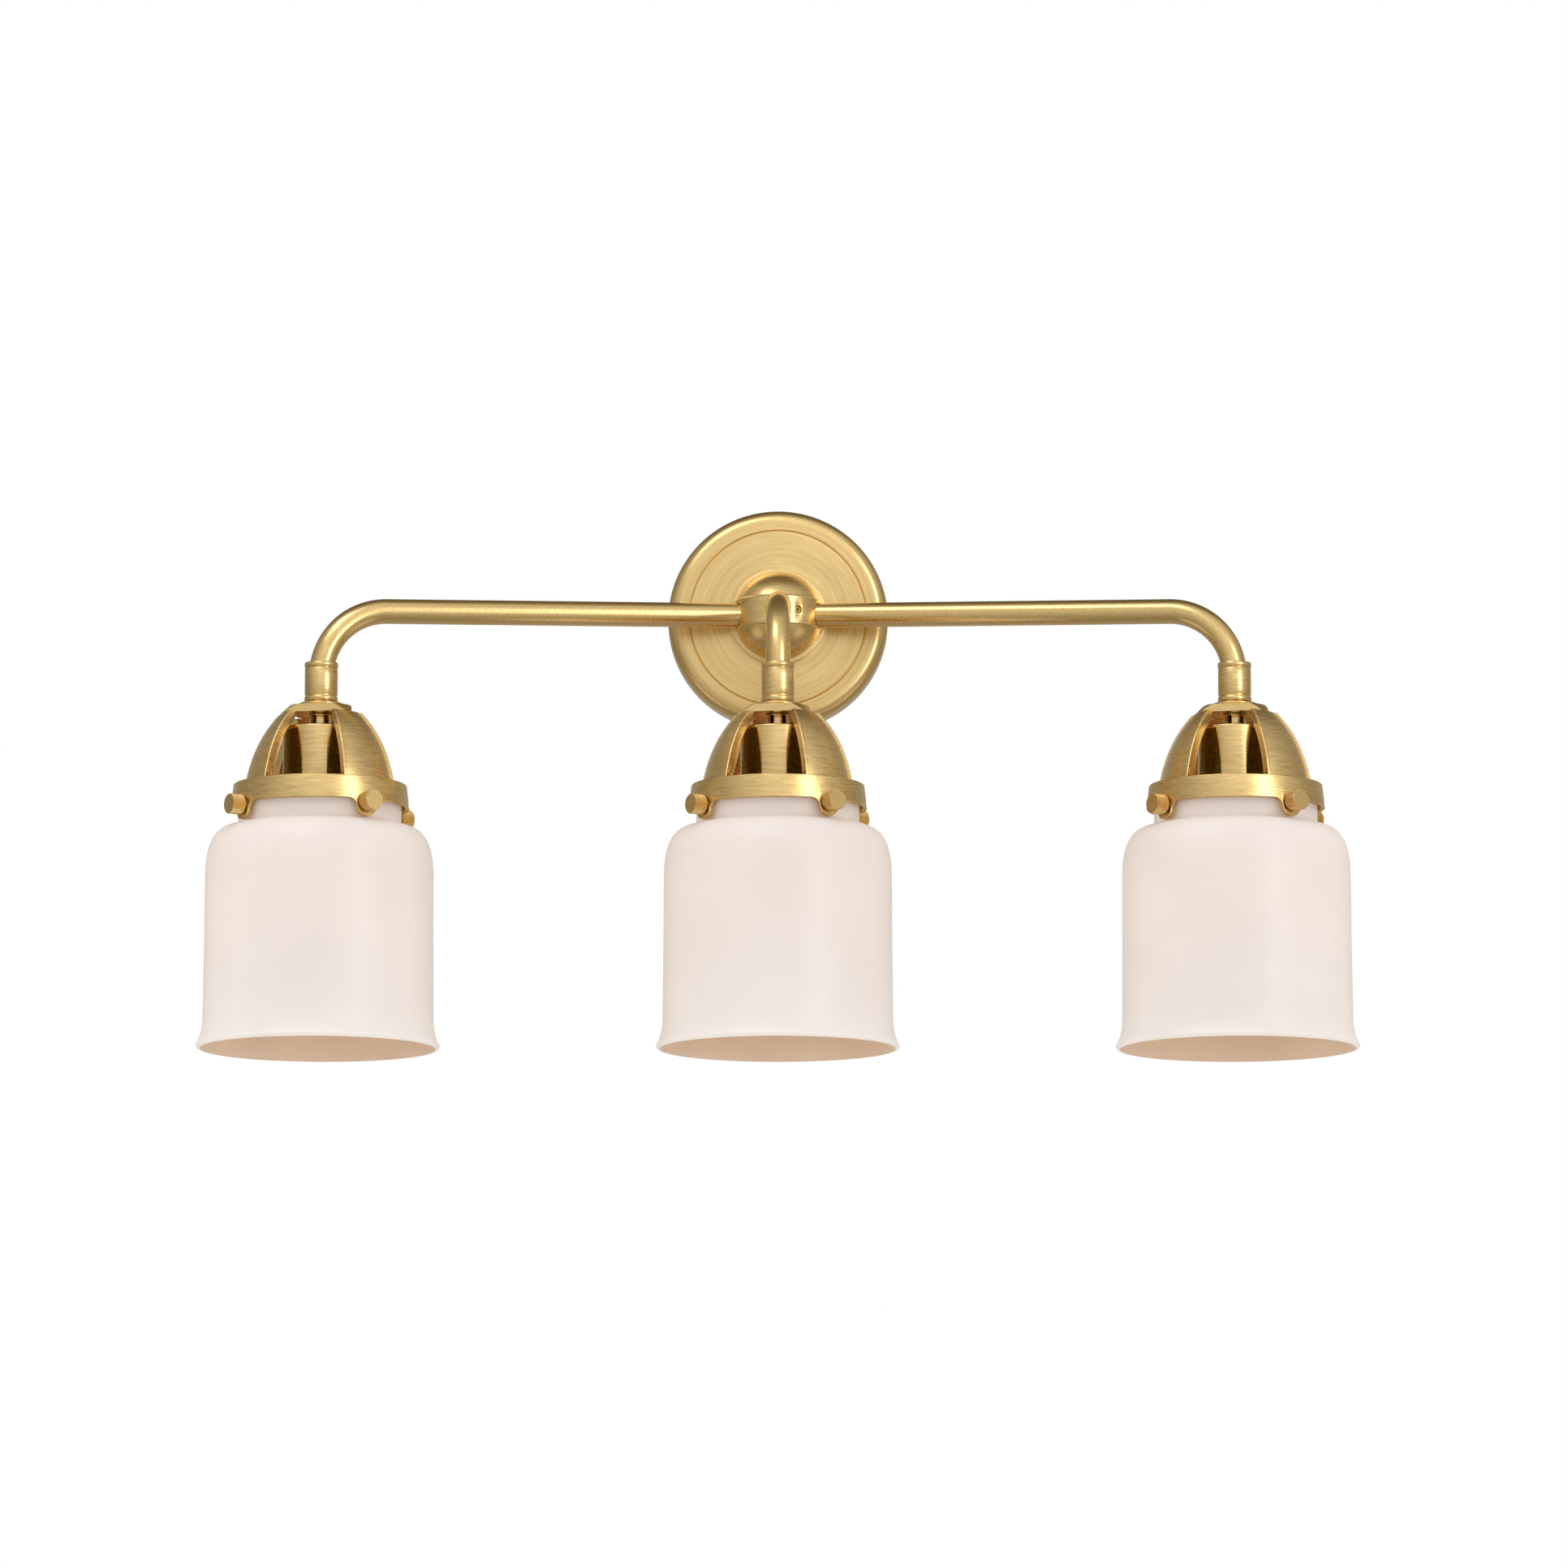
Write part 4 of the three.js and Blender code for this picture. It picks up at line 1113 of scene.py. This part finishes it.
# %% Spin the bulb and the socket
BULB_RADIUS = 30.0
CAP_RADIUS = 13.0
bulb_centre = bulb_foot + BULB_RADIUS
bulb_section = (
    arc((0, bulb_centre), BULB_RADIUS, -90, 22, 30)
    + bezier(
        (27.8, bulb_centre + 11.3),
        (23.5, bulb_centre + 21.5),
        (CAP_RADIUS + 1.4, bulb_top - 12),
        (CAP_RADIUS, bulb_top),
        count=14,
    )[1:]
    + [(0, bulb_top)]
)
bulb = turned("made_bulb_glass_centre", bulb_section, tuple(lamp_axis), 72)
smooth(bulb, 50)
on_each_lamp(bulb, "bulb_glass", frosted, "bulb_{}")

THREAD_PITCH = 3.6
THREAD_DEPTH = 0.4
THREAD_LENGTH = 18.0
THREAD_STEPS = 28
thread = []
for i in range(THREAD_STEPS + 1):
    z = base_foot + 1 + i * THREAD_LENGTH / THREAD_STEPS
    wave = THREAD_DEPTH * math.cos((z - base_foot) / THREAD_PITCH * math.tau)
    thread.append((CAP_RADIUS - 0.45 + wave, z))
cap_section = (
    [(0, base_foot), (CAP_RADIUS - 0.8, base_foot)]
    + thread
    + [(CAP_RADIUS - 0.9, base_top - 5), (CAP_RADIUS - 3.5, base_top - 2)]
    + [(4.5, base_top - 1), (4.2, base_top), (0, base_top)]
)
cap = turned("made_bulb_base_centre", cap_section, tuple(lamp_axis), 64)
smooth(cap, 40)
on_each_lamp(cap, "bulb_base", nickel, "bulb_{}")

SOCKET_RADIUS = 16.0
SOCKET_WALL = 1.6
r, t, b = SOCKET_RADIUS, socket_top, socket_foot
socket_section = (
    [(r - SOCKET_WALL, b), (r - 0.4, b), (r, b + 0.4), (r, t - 1)]
    + [(r - 0.3, t - 0.3), (r - 1, t), (NIPPLE_HOLE, t), (NIPPLE_HOLE, t - 4), (r - SOCKET_WALL, t - 4)]
)
socket = turned("made_socket_body_centre", socket_section, tuple(lamp_axis), 72)
smooth(socket, 40)
on_each_lamp(socket, "socket_body", phenolic)

# %% [markdown]
# ## Pieces that keep their CAD shape
# The crossbar, the nuts, the stem, the screws and the nipples are already the shape that they should be, so
# they only get a finish.

# %% Finish the CAD pieces
kept = {
    "crossbar": zinc_steel,
    "hub_stem": zinc_steel,
    "stem_back_nut": zinc_steel,
    "stem_front_nut": zinc_steel,
    "ground_screw": green_steel,
    "hub_set_screw": sheet_brass,
}
for lamp in LAMPS:
    # painted shade: the steel nipples wear the dark phenolic finish so that the vent sleeve's slots show dark
    kept["nipple_" + lamp] = phenolic
    kept["screw_shell_" + lamp] = sheet_brass
for name, finish in kept.items():
    wear(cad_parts[name], finish)

# %% [markdown]
# ## Floor, light and camera
# A product like this is shown in an even, bright room of soft light, with darker stretches left in it so
# that the metal has something to reflect. Mirrored rays see that darker room, scattered rays see an even one
# with brighter sides, and the camera sees white. The floor is far below, out of the way.

# %% Floor
FLOOR_DROP = 3.0
deselect()
bpy.ops.mesh.primitive_plane_add(size=30, location=(0, 0, cad_box[0][2] - FLOOR_DROP))
floor = bpy.context.object
floor.name = "floor"
floor_paint, floor_tree = new_finish("floor_matt_pale")
floor_face = node(
    floor_tree, "ShaderNodeBsdfPrincipled", inputs={"Base Color": linear("#F4F3F1"), "Roughness": 0.8}
)
node(floor_tree, "ShaderNodeOutputMaterial", inputs={"Surface": floor_face.outputs[0]})
wear(floor, floor_paint)
floor.visible_glossy = False  # the metal mirrors the room only

# %% Room
world = bpy.data.worlds.new("soft_room")
bpy.context.scene.world = world
world.use_nodes = True
sky = world.node_tree
sky.nodes.clear()
direction = node(sky, "ShaderNodeTexCoord").outputs["Generated"]


def along(vector):
    """How far a direction of the room points the same way as a vector, from -1 to 1."""
    unit = tuple(Vector(vector).normalized())
    dot = node(sky, "ShaderNodeVectorMath", {"operation": "DOT_PRODUCT"}, {0: direction, 1: unit})
    return dot.outputs["Value"]


def graded(value, low, high, stops):
    """A grey level for a value between low and high, through (value, level) stops."""
    share = node(sky, "ShaderNodeMapRange", inputs={"Value": value, "From Min": low, "From Max": high})
    return ramp(sky, share.outputs[0], [((v - low) / (high - low), (g, g, g, 1)) for v, g in stops])


def times(a, b):
    return node(sky, "ShaderNodeMath", {"operation": "MULTIPLY"}, {0: a, 1: b}).outputs[0]


front = graded(
    along((0, -0.9, 0.44)),
    -1,
    1,
    [(-1, 0.45), (-0.75, 0.4), (-0.35, 0.3), (0, 0.38), (0.35, 0.5), (0.65, 0.68), (0.9, 0.84), (1, 1.08)],
)
above = graded(along((0, 0.45, 0.9)), -1, 1, [(0.72, 1.0), (0.92, 0.3)])
sideways = graded(along((1, 0, 0)), -1, 1, [(-1, 0.85), (1, 1.0)])
level = times(times(front, above), sideways)
room = ramp(
    sky,
    level,
    [
        (0.1, (0.115, 0.085, 0.045, 1)),
        (0.3, (0.31, 0.28, 0.22, 1)),
        (0.5, (0.5, 0.485, 0.45, 1)),
        (1, (1, 1, 1, 1)),
    ],
)
daylight = times(
    graded(along((0, 0, 1)), -1, 1, [(-1, 0.8), (-0.2, 0.95), (0.4, 1.05)]),
    graded(along((0, -1, 0)), -1, 1, [(-1, 0.78), (-0.5, 1.0), (0, 1.45), (0.5, 1.18), (1, 0.8)]),
)
path = node(sky, "ShaderNodeLightPath").outputs
seen = node(sky, "ShaderNodeBackground", inputs={"Color": (1, 1, 1, 1), "Strength": 1.0})
mirrored = node(sky, "ShaderNodeBackground", inputs={"Color": room, "Strength": 1.0})
felt = node(sky, "ShaderNodeBackground", inputs={"Color": daylight, "Strength": 1.0})
lit = node(
    sky,
    "ShaderNodeMixShader",
    inputs={"Fac": path["Is Glossy Ray"], 1: felt.outputs[0], 2: mirrored.outputs[0]},
)
both = node(
    sky, "ShaderNodeMixShader", inputs={"Fac": path["Is Camera Ray"], 1: lit.outputs[0], 2: seen.outputs[0]}
)
node(sky, "ShaderNodeOutputWorld", inputs={"Surface": both.outputs[0]})

# %% Soft boxes
LIGHT_AWAY = 2.2
light_aim = Vector((0, lamp_y, -0.1))


def soft_box(name, azimuth, elevation, size, radiance):
    """A rectangular soft light towards an azimuth, with its size in metres and its brightness."""
    data = bpy.data.lights.new(name, "AREA")
    data.shape = "RECTANGLE"
    data.size, data.size_y = size
    data.energy = radiance * math.pi * size[0] * size[1]
    box = bpy.data.objects.new(name, data)
    bpy.context.scene.collection.objects.link(box)
    box.visible_diffuse = False  # it shapes the metal's highlights only
    way = towards(azimuth, -elevation)
    box.location = light_aim + way * LIGHT_AWAY
    box.rotation_euler = (-way).to_track_quat("-Z", "Y").to_euler()


soft_box("key_right", 41, 12, (0.7, 1.5), 3.2)
soft_box("fill_upper_left", -34, 52, (1.2, 0.8), 2.4)

# %% Camera
CAMERA_BACK = 3.63
CAMERA_HEIGHT = -0.640
AIM_HEIGHT = -0.0984
SIDESTEP = 0.0031
LENS = 166.2
camera_data = bpy.data.cameras.new("camera")
camera_data.lens = LENS
camera_data.sensor_width = 36
camera = bpy.data.objects.new("camera", camera_data)
bpy.context.scene.collection.objects.link(camera)
aim = Vector((SIDESTEP, lamp_y, AIM_HEIGHT))
camera.location = (SIDESTEP, lamp_y - CAMERA_BACK, CAMERA_HEIGHT)
camera.rotation_euler = (aim - camera.location).to_track_quat("-Z", "Y").to_euler()
bpy.context.scene.camera = camera
bpy.context.scene.view_settings.view_transform = "Standard"
